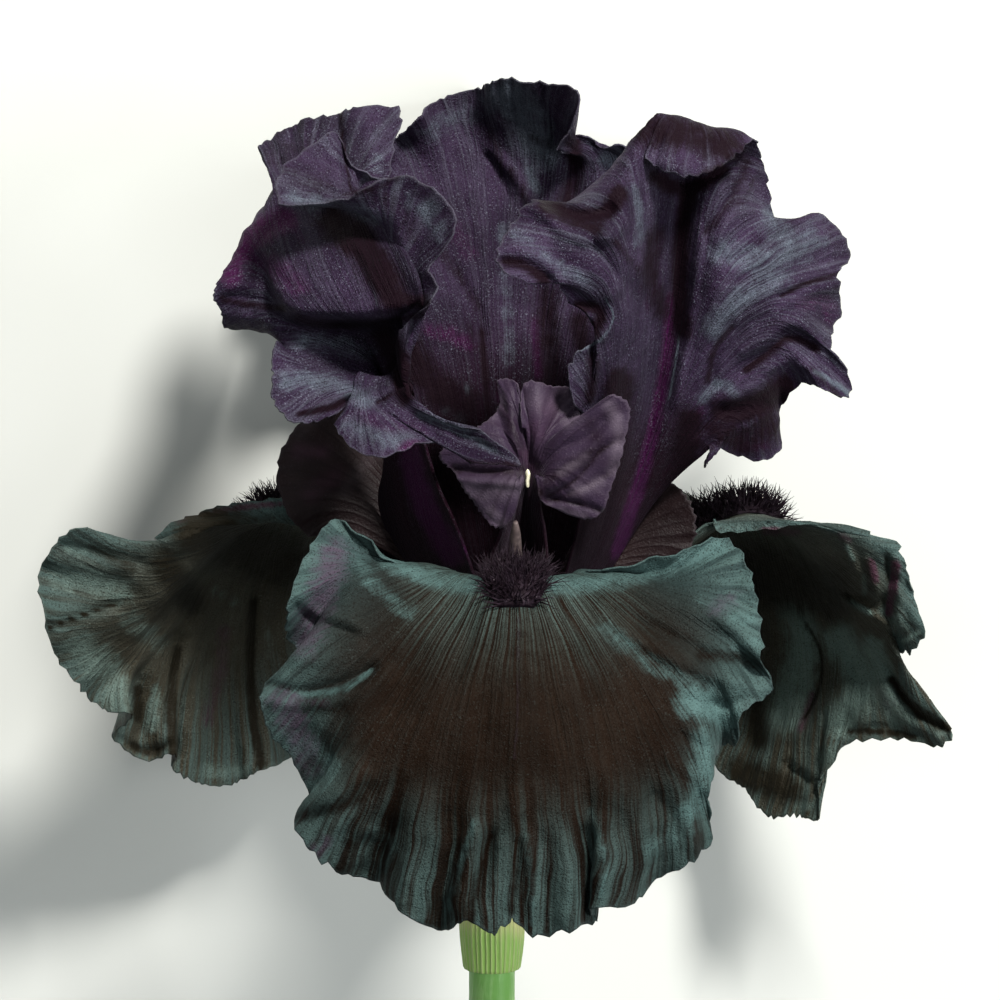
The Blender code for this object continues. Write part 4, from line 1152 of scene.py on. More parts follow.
        ([(37.5, -15.5), (45, -17), (49.5, -18)], 1.5, 0.6),
    ],
    "style_arm_front": [
        ([(5, 31), (10, 34), (14, 38.5), (17.5, 40.5)], 0.6, -0.7),
        ([(6, 30.5), (11.5, 33), (17, 36)], 0.6, -0.6),
        ([(5.5, 32.5), (10, 36), (14, 40.5), (17, 43.5)], 0.8, 0.5),
        ([(5, 30.5), (10, 30), (14.5, 28.5)], 0.6, -0.8),
        ([(4, 35.5), (8, 39), (12.5, 41), (14.5, 43.5)], 1, -0.8),
        ([(1.5, 48), (2, 42), (2.5, 37)], 0.7, -0.8),
        ([(3.5, 48.5), (4, 43), (3.5, 38)], 1.1, 0.5),
        ([(7.5, 48), (6.5, 43), (5, 38)], 1, -0.4),
        ([(-1, 48.5), (-0.5, 43), (1, 38)], 0.7, 0.5),
        ([(-3, 45.5), (-1.5, 41), (0.5, 37.5)], 0.6, -0.6),
        ([(-10, 35.5), (-5, 35), (1, 35.5)], 0.7, -1),
        ([(-9.5, 34), (-4, 33.5), (1.5, 33)], 0.7, 0.7),
        ([(-9, 31.5), (-5.5, 28.5), (-2.5, 26)], 0.5, -0.5),
        ([(-8, 40.5), (-4, 38), (0, 36.5)], 0.7, -0.5),
    ],
}
print("folds:", sum(map(len, FOLDS.values())))

# %% [markdown]
# Tints are laid on in the same way, with a strength in place of the height. Deep is painted shade:
# cast shadows under rims, lips and lobes and darkness in hollows, and on the claws it deepens their
# own dark colour. Pale is painted highlight and painted sheen on what catches the light. Glow is a
# painted glow of magenta or mauve where light would come through the blade, and on the claws it is
# also their own magenta.

# %% Tints of each petal
PAINTED_LIGHT_AND_CLAW_TINTS = {
    "standard_left": {
        "deep": [
            ([(-29.5, 76), (-24.5, 71.5), (-20, 64)], 3.4, 1, (20, 60)),
            ([(-21.5, 64.5), (-18, 63.5), (-15, 63)], 1.5, 0.9, (15, 60)),
            ([(-35.5, 60.5), (-29.5, 59.5), (-20.5, 60), (-14, 61.5)], 1, 0.7),
            ([(-21.5, 58), (-19, 53.5), (-18, 48)], 2.3, 1),
            ([(-39.5, 87), (-35.5, 84.5), (-31, 82.5)], 2.6, 0.4),
            ([(-40, 91), (-36, 93)], 2, 0.35),
            ([(-40, 89), (-35.5, 88), (-33.5, 89.5)], 1.3, 0.35),
            ([(-23.5, 81), (-19, 78.5), (-17, 74)], 2, 0.4),
            ([(-35.5, 44.5), (-30.5, 45.5), (-28, 46.5)], 0.7, 0.9),
            ([(-48, 63.5), (-43.5, 62.5), (-38, 62)], 0.7, 0.8),
            ([(-28, 80.5), (-23.5, 81.5), (-19, 83.5)], 0.7, 0.6),
            ([(-28.5, 93.5), (-28, 88), (-27, 81.5)], 0.5, 0.7),
            ([(-12.5, 38), (-7.5, 36.5), (0, 36)], 1, 0.8),
            ([(-22.5, 46.5), (-20, 48), (-18, 50)], 0.7, 0.7),
            ([(-21.5, 34), (-21, 27), (-20, 21.5)], 2.3, 0.8),
        ],
        "pale": [
            ([(-33.5, 77.5), (-28, 73), (-24, 68), (-22.5, 62.5)], 0.3, 0.5, (20, 60)),
            ([(-37, 79.5), (-30.5, 78.5), (-23, 77)], 2, 0.45, (20, 60)),
            ([(-17, 79.5), (-13.5, 77.5), (-12.5, 74)], 2.3, 0.4),
            ([(-35.5, 56.5), (-29.5, 56), (-24.5, 54.5)], 2.1, 0.45),
            ([(-26.5, 93), (-23, 89.5), (-22.5, 84.5)], 2.1, 0.25),
            ([(-37, 50), (-30.5, 49.5), (-24.5, 47)], 2.1, 0.55),
            ([(-27, 43), (-22, 40.5), (-17, 40.5)], 2, 0.45),
            ([(-15.5, 44.5), (-10, 42.5), (-3.5, 38.5)], 1, 0.5),
        ],
        "glow": [
            ([(-47, 68), (-43.5, 73), (-37.5, 76.5)], 2.5, 0.9),
            ([(-36.5, 75), (-34.5, 73)], 1.3, 0.4, (15, 60)),
            ([(-45, 69.5), (-40, 69), (-35.5, 65.5)], 2.5, 0.5),
            ([(-17, 38.5), (-15.5, 32), (-12.5, 25.5), (-10, 21.5)], 2.1, 1),
            ([(-28, 44.5), (-22, 43), (-15.5, 41.5)], 2, 0.3),
        ],
    },
    "standard_right": {
        "deep": [
            ([(28.5, 81.5), (27.5, 75), (27, 66.5), (27.5, 58.5)], 2, 1),
            ([(23, 74), (22, 68), (24, 61.5)], 2.1, 0.75),
            ([(23, 83.5), (27.5, 81.5), (34, 84.5)], 1.6, 1),
            ([(21.5, 91), (28, 90.5), (35, 88.5)], 3.6, 0.85),
            ([(5, 79), (10, 77), (14.5, 77.5), (17, 80.5)], 1.8, 1),
            ([(8, 76.5), (13.5, 75)], 1.3, 0.8),
            ([(-1.5, 69.5), (1.5, 69), (5, 66.5)], 1.3, 0.9),
            ([(10.5, 62.5), (14, 61.5), (13, 58)], 1.3, 1),
            ([(16, 73), (19, 69.5), (22, 66)], 0.8, 0.6),
            ([(12.5, 54), (12.5, 50), (12, 47)], 1.3, 0.7),
            ([(17, 50), (16, 40.5), (14, 30.5), (10, 20.5)], 2.8, 1),
            ([(28.5, 43.5), (27.5, 35.5), (24, 25.5)], 3, 1),
            ([(33, 42), (38, 40.5), (41.5, 43)], 3.3, 0.8),
            ([(34, 45), (39.5, 46), (44, 49)], 2.8, 1),
            ([(38, 52), (42, 55), (45, 57), (49.5, 55.5)], 1, 0.9),
            ([(31.5, 50), (32.5, 55), (35.5, 59)], 0.7, 0.7),
            ([(48.5, 52), (51.5, 49), (53.5, 47)], 0.7, 0.6),
            ([(43.5, 64), (47.5, 66), (53, 67.5)], 0.5, 0.9),
            ([(31.5, 74.5), (35.5, 80), (38, 86)], 1.1, 0.6),
            ([(35.5, 77), (39, 83)], 0.7, 0.5),
            ([(30, 41.5), (32, 43.5), (34, 46)], 0.4, 0.8),
            ([(30.5, 35.5), (31, 39.5)], 1.3, 0.7),
        ],
        "pale": [
            ([(34, 71.5), (41, 69.5), (48.5, 73)], 3, 0.5),
            ([(32.5, 58.5), (36.5, 63.5), (43.5, 67.5)], 2.6, 0.5),
            ([(30.5, 47), (33.5, 49.5), (36, 48)], 1.3, 0.55),
            ([(0, 74), (5.5, 70), (12, 66)], 1.6, 0.4),
            ([(19, 81.5), (20.5, 77), (20, 73)], 1.3, 0.45),
            ([(42, 77), (44.5, 73), (41, 75.5)], 2.3, 0.45),
            ([(28, 66.5), (27, 56.5), (25.5, 47)], 0.2, 1),
            ([(49, 51.5), (52.5, 49.5), (54.5, 48)], 0.5, 0.8),
            ([(15, 63.5), (16, 60.5), (14, 57), (10.5, 55)], 0.2, 0.8),
        ],
        "glow": [
            ([(25.5, 63.5), (25, 55), (23, 43.5), (20.5, 34), (16.5, 22)], 1.3, 1),
            ([(47, 62.5), (50.5, 63), (51.5, 60.5)], 1.8, 0.4),
            ([(37, 39.5), (41, 39.5)], 1.1, 0.5),
            ([(30.5, 45.5), (29, 42.5), (28.5, 38.5)], 1.3, 0.5),
            ([(20.5, 65), (22, 61.5)], 1.1, 0.3),
        ],
    },
    "standard_back": {
        "deep": [
            ([(9.5, 89.5), (10, 84.5), (8.5, 79), (13.5, 79.5)], 1.8, 0.8),
            ([(-4, 91), (-3, 88), (-2, 84)], 1, 0.5),
            ([(-17.5, 55), (-13.5, 49.5), (-8.5, 46)], 3.6, 0.9),
            ([(-12.5, 71.5), (-8.5, 66.5), (-6, 61.5)], 1.3, 0.5),
            ([(-5.5, 58.5), (-5, 52), (-4.5, 45.5)], 0.8, 0.8),
            ([(5, 63.5), (5.5, 56.5), (6, 49.5)], 2.8, 0.7),
            ([(10.5, 60), (11.5, 55)], 2.1, 0.8),
            ([(-7.5, 58.5), (-6.5, 55)], 1.1, 0.5),
            ([(3, 90), (5, 89)], 1.1, 0.5),
            ([(-0.5, 84.5), (1, 81.5), (2, 79.5)], 0.8, 0.6),
            ([(-14, 37), (-11.5, 30.5), (-10, 20.5)], 2.6, 1),
            ([(-2.5, 40.5), (-1, 30.5), (0, 20.5)], 3.3, 0.9),
        ],
        "pale": [
            ([(-14, 91), (-10.5, 93), (-7.5, 94)], 2.3, 0.4),
            ([(-1.5, 97), (2, 93), (4, 88)], 3.9, 0.7),
            ([(2.5, 84.5), (3.5, 81.5)], 1.3, 0.6),
            ([(-2, 75), (-1.5, 63.5), (-1, 53.5)], 1.5, 0.35),
            ([(15.5, 86.5), (19, 86)], 2.3, 0.6),
            ([(-11.5, 45.5), (-8.5, 44.5)], 1, 0.6),
            ([(-8.5, 49.5), (-7.5, 47.5)], 0.5, 0.8),
            ([(12.5, 89.5), (12.5, 88)], 0.5, 0.4),
        ],
        "glow": [
            ([(-15, 80.5), (-11.5, 76.5), (-7.5, 71.5)], 2.5, 0.35),
            ([(3, 60), (3.5, 55), (4, 50.5)], 1, 0.6),
            ([(-14, 58.5), (-10.5, 57.5), (-7.5, 56)], 1.5, 0.6),
            ([(-5.5, 49.5), (-2.5, 47.5), (0, 49)], 1, 0.4),
        ],
    },
    "fall_front": {
        "deep": [
            ([(1, 2.5), (1, -14)], 13.9, 0.42),
            ([(-17, -0.5), (-13, -10.5), (-10, -18.5)], 7.4, 0.36),
            ([(19, -5), (16.5, -13), (14, -18.5)], 6.9, 0.36),
            ([(-35.5, 13), (-31, 10.5), (-25.5, 9)], 0.8, 0.2),
            ([(-40.5, 0.5), (-34.5, -0.5), (-28, 0.5)], 0.8, 0.45),
            ([(-7.5, -39), (-6, -32), (-4, -24.5)], 1.1, 0.8),
            ([(-0.5, -36.5), (0, -32), (1, -25.5)], 1.1, 0.6),
            ([(-28.5, -30), (-27, -26)], 1.3, 0.7),
            ([(-35.5, -21.5), (-30.5, -20), (-25.5, -18.5)], 1.3, 0.6),
            ([(30.5, 5), (36, 4.5), (40, 3.5)], 1.5, 0.6),
            ([(23, 10), (28.5, 7.5)], 1.5, 0.4),
            ([(-32, -3.5), (-25.5, -3.5), (-19.5, -0.5)], 1.6, 0.5),
            ([(-19, 5), (-15.5, 6)], 2.3, 0.4),
        ],
        "pale": [
            ([(-21, 20.5), (-14, 17.5), (-6.5, 16.5)], 2.1, 0.6),
            ([(6.5, 16.5), (15.5, 17.5), (27, 20.5), (33, 22.5)], 2.3, 0.65),
            ([(-28, 23), (-22, 15.5), (-17, 11.5)], 2, 0.35),
            ([(-35.5, -1.5), (-28, -0.5), (-23.5, 2.5)], 0.7, 0.6),
            ([(-37, -9), (-30.5, -13), (-32.5, -16)], 2.3, 0.5),
            ([(14, 10), (20.5, 5), (28, 1), (36, -0.5)], 2.1, 0.38),
            ([(29, -2.5), (34.5, -4.5)], 3, 0.85),
            ([(31, -9), (30.5, -17), (28.5, -21)], 2.6, 0.6),
            ([(36, 11), (38.5, 11)], 1.3, 0.5),
            ([(36, 6.5), (39.5, 7)], 1, 0.5),
            ([(30.5, 14), (36, 12)], 1.3, 0.3),
            ([(-11, -37), (-9, -30), (-6.5, -22)], 0.7, 0.45),
            ([(3, -39), (2.5, -32), (2, -24.5)], 0.8, 0.35),
            ([(14.5, -35), (14.5, -28.5), (12.5, -20.5)], 1, 0.4),
            ([(-27, -18.5), (-19, -27)], 2.3, 0.2),
            ([(22, -27), (28.5, -23)], 2.5, 0.35),
        ],
        "glow": [
            ([(-29.5, 21.5), (-32, 14.5), (-34.5, 7.5)], 3.3, 0.6),
            ([(-37.5, -2.5), (-35.5, -8), (-33.5, -13)], 3, 0.55),
            ([(-31, -25.5), (-33, -27)], 1.8, 0.4),
            ([(33, 12.5), (36, 14)], 2.3, 0.35),
            ([(0.5, 11.5), (0.5, -2.5), (0, -12)], 0.5, 0.25),
            ([(-41, -2.5), (-30.5, -3)], 1.1, 0.3),
        ],
    },
    "fall_left": {
        "deep": [
            ([(-51.5, 25.5), (-43.5, 23), (-37.5, 20.5)], 5.6, 1),
            ([(-57.5, 20.5), (-53.5, 14)], 3, 0.9),
            ([(-69, 22.5), (-63, 19.5)], 1.3, 0.6),
            ([(-76.5, 9.5), (-71.5, 11.5), (-65.5, 13.5)], 0.4, 1),
            ([(-62, -0.5), (-62, -5)], 1.1, 1),
            ([(-55.5, 6), (-56.5, -2.5), (-56, -11.5)], 1.1, 1),
            ([(-43, 14), (-43.5, 4.5), (-43, -5.5), (-41.5, -13)], 1, 1),
            ([(-63, -9.5), (-60, -11), (-57.5, -10)], 0.8, 0.8),
        ],
        "pale": [
            ([(-74.5, 17.5), (-70.5, 17.5), (-65, 15.5)], 3, 0.5),
            ([(-72, 6.5), (-67, 2.5), (-65, -3)], 3.6, 0.55),
            ([(-63, 11), (-59, 7.5)], 2.6, 0.4),
            ([(-59, -0.5), (-59.5, -7)], 1.1, 0.5),
            ([(-49, 15.5), (-46.5, 14)], 1.3, 0.35),
            ([(-51, -14), (-45, -14)], 1.6, 0.5),
            ([(-41, 9), (-40, 4.5)], 1.6, 0.25),
            ([(-57.5, 24), (-54, 22)], 1, 0.2),
            ([(-73.5, 22.5), (-70.5, 22)], 1, 0.4),
            ([(-58.5, 19.5), (-57.5, 19)], 0.3, 1),
        ],
        "glow": [
            ([(-48, 9), (-48.5, 2.5), (-50.5, -5.5)], 1.6, 0.45),
            ([(-55, 27), (-46.5, 29), (-37.5, 30)], 0.7, 0.7),
        ],
    },
    "fall_right": {
        "deep": [
            ([(40, 19), (46.5, 16.5), (51.5, 15.5)], 5.6, 1),
            ([(37, -14), (45, -17)], 3, 0.9),
            ([(39.5, -2.5), (40, -9)], 2, 0.8),
            ([(58, 20.5), (58.5, 15.5)], 1, 0.6),
            ([(62, 1), (65.5, -3.5), (71, -7)], 1, 1),
            ([(55, -7.5), (60.5, -7.5), (65.5, -8.5)], 0.7, 0.9),
            ([(48, 10), (50.5, 5), (50, -0.5), (47.5, -5.5)], 0.4, 0.9),
            ([(61, 21.5), (61, 17.5)], 0.8, 0.6),
        ],
        "pale": [
            ([(46, 14), (47.5, 7.5), (46.5, 1), (44.5, -5)], 3.3, 0.8),
            ([(53.5, 7.5), (57, -0.5), (53, -5.5)], 3.3, 0.85),
            ([(58.5, 6.5), (61.5, -0.5), (63, -5.5)], 2.3, 0.8),
            ([(50.5, -13), (51.5, -10.5)], 1.3, 0.6),
            ([(54, 14.5), (58.5, 12)], 0.5, 0.9),
            ([(60.5, 12.5), (64, 10)], 1.3, 0.45),
            ([(64, 7.5), (66.5, 9)], 0.5, 0.8),
            ([(46.5, -19.5), (48.5, -19.5)], 1.3, 0.5),
            ([(69.5, -8), (71.5, -7.5)], 0.7, 0.5),
            ([(54.5, 23), (55.5, 21)], 0.5, 0.7),
            ([(65, -1.5), (69, -5.5)], 0.3, 0.7),
            ([(57.5, 18), (57.5, 15.5)], 0.7, 0.5),
        ],
        "glow": [
            ([(49, -1.5), (47, -7)], 1, 0.6),
            ([(58.5, 20.5), (59, 17.5)], 0.7, 1),
            ([(62.5, 20), (62, 15.5), (61.5, 12)], 0.8, 1),
            ([(60, -0.5), (63, -5)], 1.6, 0.3),
            ([(41, 25.5), (46.5, 25.5)], 0.7, 0.8),
            ([(55, 24), (53.5, 25)], 0.8, 0.5),
        ],
    },
    "style_arm_front": {
        "deep": [
            ([(-11.5, 35.5), (-5.5, 35.5), (1, 35)], 1, 1),
            ([(5, 33.5), (10, 36.5), (14, 39)], 1, 0.9),
            ([(-1.5, 46), (-0.5, 42), (1.5, 38)], 0.8, 0.7),
            ([(12.5, 43), (13.5, 40.5)], 1.3, 0.6),
            ([(5, 31), (10, 34), (14, 38.5), (17.5, 40.5)], 0.4, 1),
            ([(6, 30.5), (11.5, 32.5), (17, 36)], 0.4, 1),
            ([(5, 30.5), (10, 30), (14.5, 28.5)], 0.4, 1),
            ([(-2.5, 25.5), (1, 29), (2.5, 32)], 0.7, 0.8),
            ([(4, 31.5), (3, 27), (1.5, 20.5)], 2, 1),
            ([(-11.5, 34.5), (-7.5, 29), (-3.5, 25.5)], 0.5, 0.8),
        ],
        "pale": [
            ([(-7.5, 32), (-2.5, 32), (0.5, 33)], 2, 0.6),
            ([(-4, 29), (-2.5, 27)], 1.1, 0.7),
            ([(15.5, 46), (17, 42), (16, 35.5)], 1.1, 0.7),
            ([(7.5, 35), (11.5, 37.5)], 0.7, 0.5),
            ([(10, 32), (14, 33.5)], 1, 0.7),
            ([(7.5, 29), (11.5, 28)], 0.7, 0.6),
            ([(3.5, 47), (7.5, 46), (8, 48)], 2, 0.4),
            ([(8.5, 43), (10.5, 44.5)], 1, 0.5),
            ([(-4, 44.5), (-2.5, 47)], 1.3, 0.35),
        ],
        "glow": [
            ([(3.5, 42), (5.5, 45.5)], 2, 0.35),
            ([(1.5, 38), (2.5, 36)], 1, 0.7),
        ],
    },
    "style_arm_left": {
        "deep": [
            ([(-33.5, 27), (-27, 30.5), (-19, 30.5), (-14, 24)], 4.9, 1),
            ([(-33.5, 35.5), (-30.5, 30.5)], 2.6, 0.7),
            ([(-20.5, 37), (-15.5, 34)], 3, 0.9),
        ],
        "pale": [
            ([(-35.5, 42), (-32, 44.5)], 1.3, 0.5),
            ([(-28, 32), (-25, 36), (-22, 38.5)], 1.1, 0.35),
        ],
        "glow": [
            ([(-35.5, 38.5), (-31.5, 38.5)], 1.3, 0.8),
            ([(-33.5, 31.5), (-29.5, 34.5)], 1.6, 0.5),
        ],
    },
    "style_arm_right": {
        "deep": [
            ([(20.5, 30.5), (24, 27), (28.5, 25.5)], 4.9, 1),
            ([(24, 35.5), (30.5, 34)], 3.9, 1),
        ],
    },
}
print("tints:", sum(len(strokes) for kinds in PAINTED_LIGHT_AND_CLAW_TINTS.values() for strokes in kinds.values()))

# %% Build the six petals
BLADE, RIM, ROW_CROWDING = 0.5, 0.26, 1.25


def rim_thinned(reach, columns):
    """A blade's thickness at each point, drawn finer towards its margin."""
    return BLADE + (RIM - BLADE) * eased(reach, 0.8, 1.0)[:, None] * np.ones(columns)


def fine_petal(name, petal, claw, columns, rows, material, seed, crimp, teeth):
    """A petal's blade, with rows that crowd towards its margin."""
    place = np.linspace(-1, 1, columns)
    reach = 1 - (1 - np.linspace(0, 1, rows)) ** ROW_CROWDING
    grid = petal_points(petal, claw, place, reach)
    grid = lively(grid, place, reach, FOLDS.get(name, []), seed, crimp, teeth)
    thick = rim_thinned(reach, columns)
    blade(name + "_velvet", grid, place, reach, thick, material, name, PAINTED_LIGHT_AND_CLAW_TINTS.get(name))


PETALS = (
    ("standard_left", STANDARD_LEFT, (STANDARD_CLAW, -60, 1.8), 330, 108, standard_velvet, 0.55, 0.35),
    ("standard_right", STANDARD_RIGHT, (STANDARD_CLAW, 60), 290, 105, standard_velvet, 0.6, 0.35),
    ("standard_back", STANDARD_BACK, (STANDARD_CLAW, 180, 3.0), 240, 90, standard_velvet, 0.6, 0.35),
    ("fall_front", FALL_FRONT, (FALL_CLAW, 0), 290, 105, fall_velvet, 0.7, 0.4),
    ("fall_left", FALL_LEFT, (FALL_CLAW, -120), 230, 90, lightened_side_fall_velvet, 0.7, 0.4),
    ("fall_right", FALL_RIGHT, (FALL_CLAW, 120), 230, 90, lightened_side_fall_velvet, 0.7, 0.4),
)
for number, (name, petal, claw, columns, rows, velvety, crimp, teeth) in enumerate(PETALS):
    fine_petal(name, petal, claw_rows(*claw), columns, rows, velvety, 10 * number + 3, crimp, teeth)

# %% [markdown]
# ## The style arms
#
# A style arm is a strap that arches over each beard and splits into two upturned crests. The
# front one's points are listed one by one. The other two follow the same rule, one a little
# smaller, because the bloom turns it away from us.

# %% Build the style arms
STYLES = (
    ("style_arm_front", STYLE_ARM, 0, 220, 88, style_satin),
    ("style_arm_left", side_style(-120, 1.0), -120, 130, 60, shaded_satin),
    ("style_arm_right", side_style(120, 0.76), 120, 130, 60, shaded_satin),
)
style_grids = {}
for name, style, bearing, columns, rows, satiny in STYLES:
    place, reach = np.linspace(-1, 1, columns), np.linspace(0, 1, rows)
    grid = petal_points(style, claw_rows(STYLE_CLAW, bearing), place, reach)
    folds, seed = FOLDS.get(name, []), 200 + bearing
    grid = lively(grid, place, reach, folds, seed, crimp=0.35, teeth=0.25, crimp_from=0.8, pucker=0.1)
    thick = rim_thinned(reach, columns)
    blade(name + "_satin", grid, place, reach, thick, satiny, name, PAINTED_LIGHT_AND_CLAW_TINTS.get(name))
    style_grids[name] = grid

# %% [markdown]
# ## The stigma lip
#
# Just below the notch between the front crests lies the stigma, a small pale lip like a keyhole.
# It is a bowed strip, wider above than below, closed like the petals and set just proud of the
# style arm at the place where the viewer sees it.

# %% Build the stigma lip
STIGMA_SEEN = (2.2, 34.3)
STIGMA_WIDE, STIGMA_TALL, STIGMA_THICK, STIGMA_PROUD = 0.85, 3.3, 0.3, 0.9

front_style = style_grids["style_arm_front"]
nearest = np.linalg.norm(as_seen(front_style) - STIGMA_SEEN, axis=-1).argmin()
heart = front_style.reshape(-1, 3)[nearest] + np.array([0, 0, STIGMA_PROUD])
spot, rise = np.meshgrid(np.linspace(-1, 1, 24), np.linspace(-1, 1, 32))
half = STIGMA_WIDE / 2 * (0.45 + 0.55 * eased(rise, -0.2, 0.5)) * np.sqrt(np.maximum(0.05, 1 - rise**4))
bow = 0.35 * (1 - rise**2) * (1 - spot**2)
lip = heart + np.stack([half * spot + 0.12 * np.sin(3 * rise), STIGMA_TALL / 2 * rise, bow], axis=-1)
lip_thick = np.full(rise.shape, STIGMA_THICK)
blade("stigma_lip", lip, spot[0], (rise[:, 0] + 1) / 2, lip_thick, stigma_pale, None)

# %% [markdown]
# ## The beards
#
# A beard is a strip of bristles on the haft of each fall. They repeat by the hundred and follow
# a surface, so a geometry nodes tree plants them: points are scattered over a low cushion, each
# gets a thin bent bristle along the surface's outward direction, and the tree ends by making
# everything real and giving it its finish.

# %% The cushion under each beard
BEARD_WIDTH, BEARD_BODY = 12.0, 2.0
BEARD_FROM, BEARD_TO = 0.2, 0.5
CUSHION_ROWS, CUSHION_COLUMNS, HAFT_COLUMNS = 40, 26, 161


def beard_cushion(petal, claw):
    """The bottom and the domed top of a low cushion over the haft, as two grids of points."""
    surface = petal_points(
        petal, claw, np.linspace(-1, 1, HAFT_COLUMNS), np.linspace(BEARD_FROM, BEARD_TO, CUSHION_ROWS)
    )
    normals = -normals_of(surface)
    if (normals @ in_picture(0, 0, 1)).mean() < 0:
        normals = -normals
    spread = np.linspace(-1, 1, CUSHION_COLUMNS)
    bottom, top = [], []
    for share, line, normal in zip(np.linspace(0, 1, CUSHION_ROWS), surface, normals):
        along = np.concatenate([[0], np.cumsum(np.linalg.norm(np.diff(line, axis=0), axis=1))])
        along -= along[HAFT_COLUMNS // 2]
        end = math.sin(math.pi * (0.05 + 0.9 * share)) ** 0.4
        wanted = spread * BEARD_WIDTH / 2 * end
        spot = np.stack([np.interp(wanted, along, line[:, axis]) for axis in range(3)], axis=1)
        lift = np.stack([np.interp(wanted, along, normal[:, axis]) for axis in range(3)], axis=1)
        lift /= np.linalg.norm(lift, axis=1)[:, None]
        dome = 0.2 + BEARD_BODY * end * (1 - spread**2)
        bottom.append(spot + lift * 0.3)
        top.append(spot + lift * (0.4 + dome[:, None]))
    return np.array(bottom), np.array(top)


print("cushions are", BEARD_WIDTH, "mm wide")

# %% [markdown]
# The tree has four named inputs: how many bristles stand on each square metre, how long and how
# thick they are, and the seed of the scatter. The bristle itself is a small closed cone with a
# few sides, bent a little, so that thousands of them stay light.

# %% The bristle tree
BRISTLE_LENGTH, BRISTLE_THICKNESS, BRISTLE_CURL, BRISTLE_LEAN = 0.0036, 0.00016, 70.0, 0.62
BRISTLE_DENSITY = 3.2e6


class Tree:
    """A geometry nodes tree with named inputs, and a short way to add and join nodes."""

    def __init__(self, name, carrier, result, inputs):
        self.group = bpy.data.node_groups.new(name, "GeometryNodeTree")
        face = self.group.interface
        face.new_socket(carrier, in_out="INPUT", socket_type="NodeSocketGeometry")
        for label, kind, value in inputs:
            face.new_socket(label, in_out="INPUT", socket_type=kind).default_value = value
        face.new_socket(result, in_out="OUTPUT", socket_type="NodeSocketGeometry")
        self.given = self.group.nodes.new("NodeGroupInput").outputs
        self.result = self.group.nodes.new("NodeGroupOutput").inputs[0]

    def add(self, kind, joined, **settings):
        """A node with its settings; joined maps its inputs to outputs of others or to values."""
        node = self.group.nodes.new(kind)
        for key, value in settings.items():
            setattr(node, key, value)
        for key, value in joined.items():
            if isinstance(value, bpy.types.NodeSocket):
                self.group.links.new(value, node.inputs[key])
            else:
                node.inputs[key].default_value = value
        return node.outputs


def bristle_tree():
    """Scatter points on the cushion, plant a bent cone on each, and make them all real."""
    tree = Tree("Beard bristles", "Cushion", "Beard", (
        ("Bristles per square metre", "NodeSocketFloat", BRISTLE_DENSITY),
        ("Length", "NodeSocketFloat", BRISTLE_LENGTH),
        ("Thickness", "NodeSocketFloat", BRISTLE_THICKNESS),
        ("Seed", "NodeSocketInt", 1),
    ))
    given, seed = tree.given, tree.given["Seed"]
    scatter = tree.add(
        "GeometryNodeDistributePointsOnFaces",
        {"Mesh": given["Cushion"], "Density": given["Bristles per square metre"], "Seed": seed},
        distribute_method="RANDOM",
    )
    cone = tree.add(
        "GeometryNodeMeshCone",
        {"Vertices": 5, "Side Segments": 3, "Radius Top": 0.12, "Radius Bottom": 1.0, "Depth": 1.0},
        fill_type="NGON",
    )
    thick = given["Thickness"]
    size = tree.add("ShaderNodeCombineXYZ", {0: thick, 1: thick, 2: given["Length"]})
    shaped = tree.add("GeometryNodeTransform", {"Geometry": cone["Mesh"], "Scale": size[0]})
    height = tree.add("ShaderNodeSeparateXYZ", {0: tree.add("GeometryNodeInputPosition", {})[0]})[2]
    square = tree.add("ShaderNodeMath", {0: height, 1: height}, operation="MULTIPLY")
    curl = tree.add("ShaderNodeMath", {0: square[0], 1: BRISTLE_CURL}, operation="MULTIPLY")
    push = tree.add("ShaderNodeCombineXYZ", {0: curl[0]})
    bent = tree.add("GeometryNodeSetPosition", {"Geometry": shaped[0], "Offset": push[0]})
    low, high = (-BRISTLE_LEAN, -BRISTLE_LEAN, -3.14), (BRISTLE_LEAN, BRISTLE_LEAN, 3.14)
    stray = tree.add("FunctionNodeRandomValue", {0: low, 1: high, "Seed": seed}, data_type="FLOAT_VECTOR")
    turn = tree.add(
        "FunctionNodeRotateRotation", {0: scatter["Rotation"], 1: stray[0]}, rotation_space="LOCAL"
    )
    grow = tree.add("FunctionNodeRandomValue", {2: 0.6, 3: 1.15, "Seed": seed}, data_type="FLOAT")
    planted = tree.add(
        "GeometryNodeInstanceOnPoints",
        {"Points": scatter["Points"], "Instance": bent[0], "Rotation": turn[0], "Scale": grow[1]},
    )
    real = tree.add("GeometryNodeRealizeInstances", {0: planted[0]})
    painted = tree.add("GeometryNodeSetMaterial", {"Geometry": real[0], "Material": bristle})
    tree.group.links.new(painted[0], tree.result)
    return tree.group


bristles = bristle_tree()
print("tree nodes:", len(bristles.nodes))

# %% Plant the beards


def grown_on(name, ground, seed):
    """The bristles that the tree grows on a ground sheet, as a plain mesh."""
    mesh = bpy.data.meshes.new(name + "_ground")
    mesh.from_pydata(laid(ground.reshape(-1, 3)).tolist(), [], sheet_faces(*ground.shape[:2]).tolist())
    carrier = bpy.data.objects.new(name + "_ground", mesh)
    bpy.context.scene.collection.objects.link(carrier)
    modifier = carrier.modifiers.new("bristles", "NODES")
    modifier.node_group = bristles
    sockets = {item.name: item.identifier for item in bristles.interface.items_tree}
    modifier[sockets["Seed"]] = seed
    view = bpy.context.evaluated_depsgraph_get()
    grown = bpy.data.meshes.new_from_object(carrier.evaluated_get(view))
    bpy.data.objects.remove(carrier)
    return grown


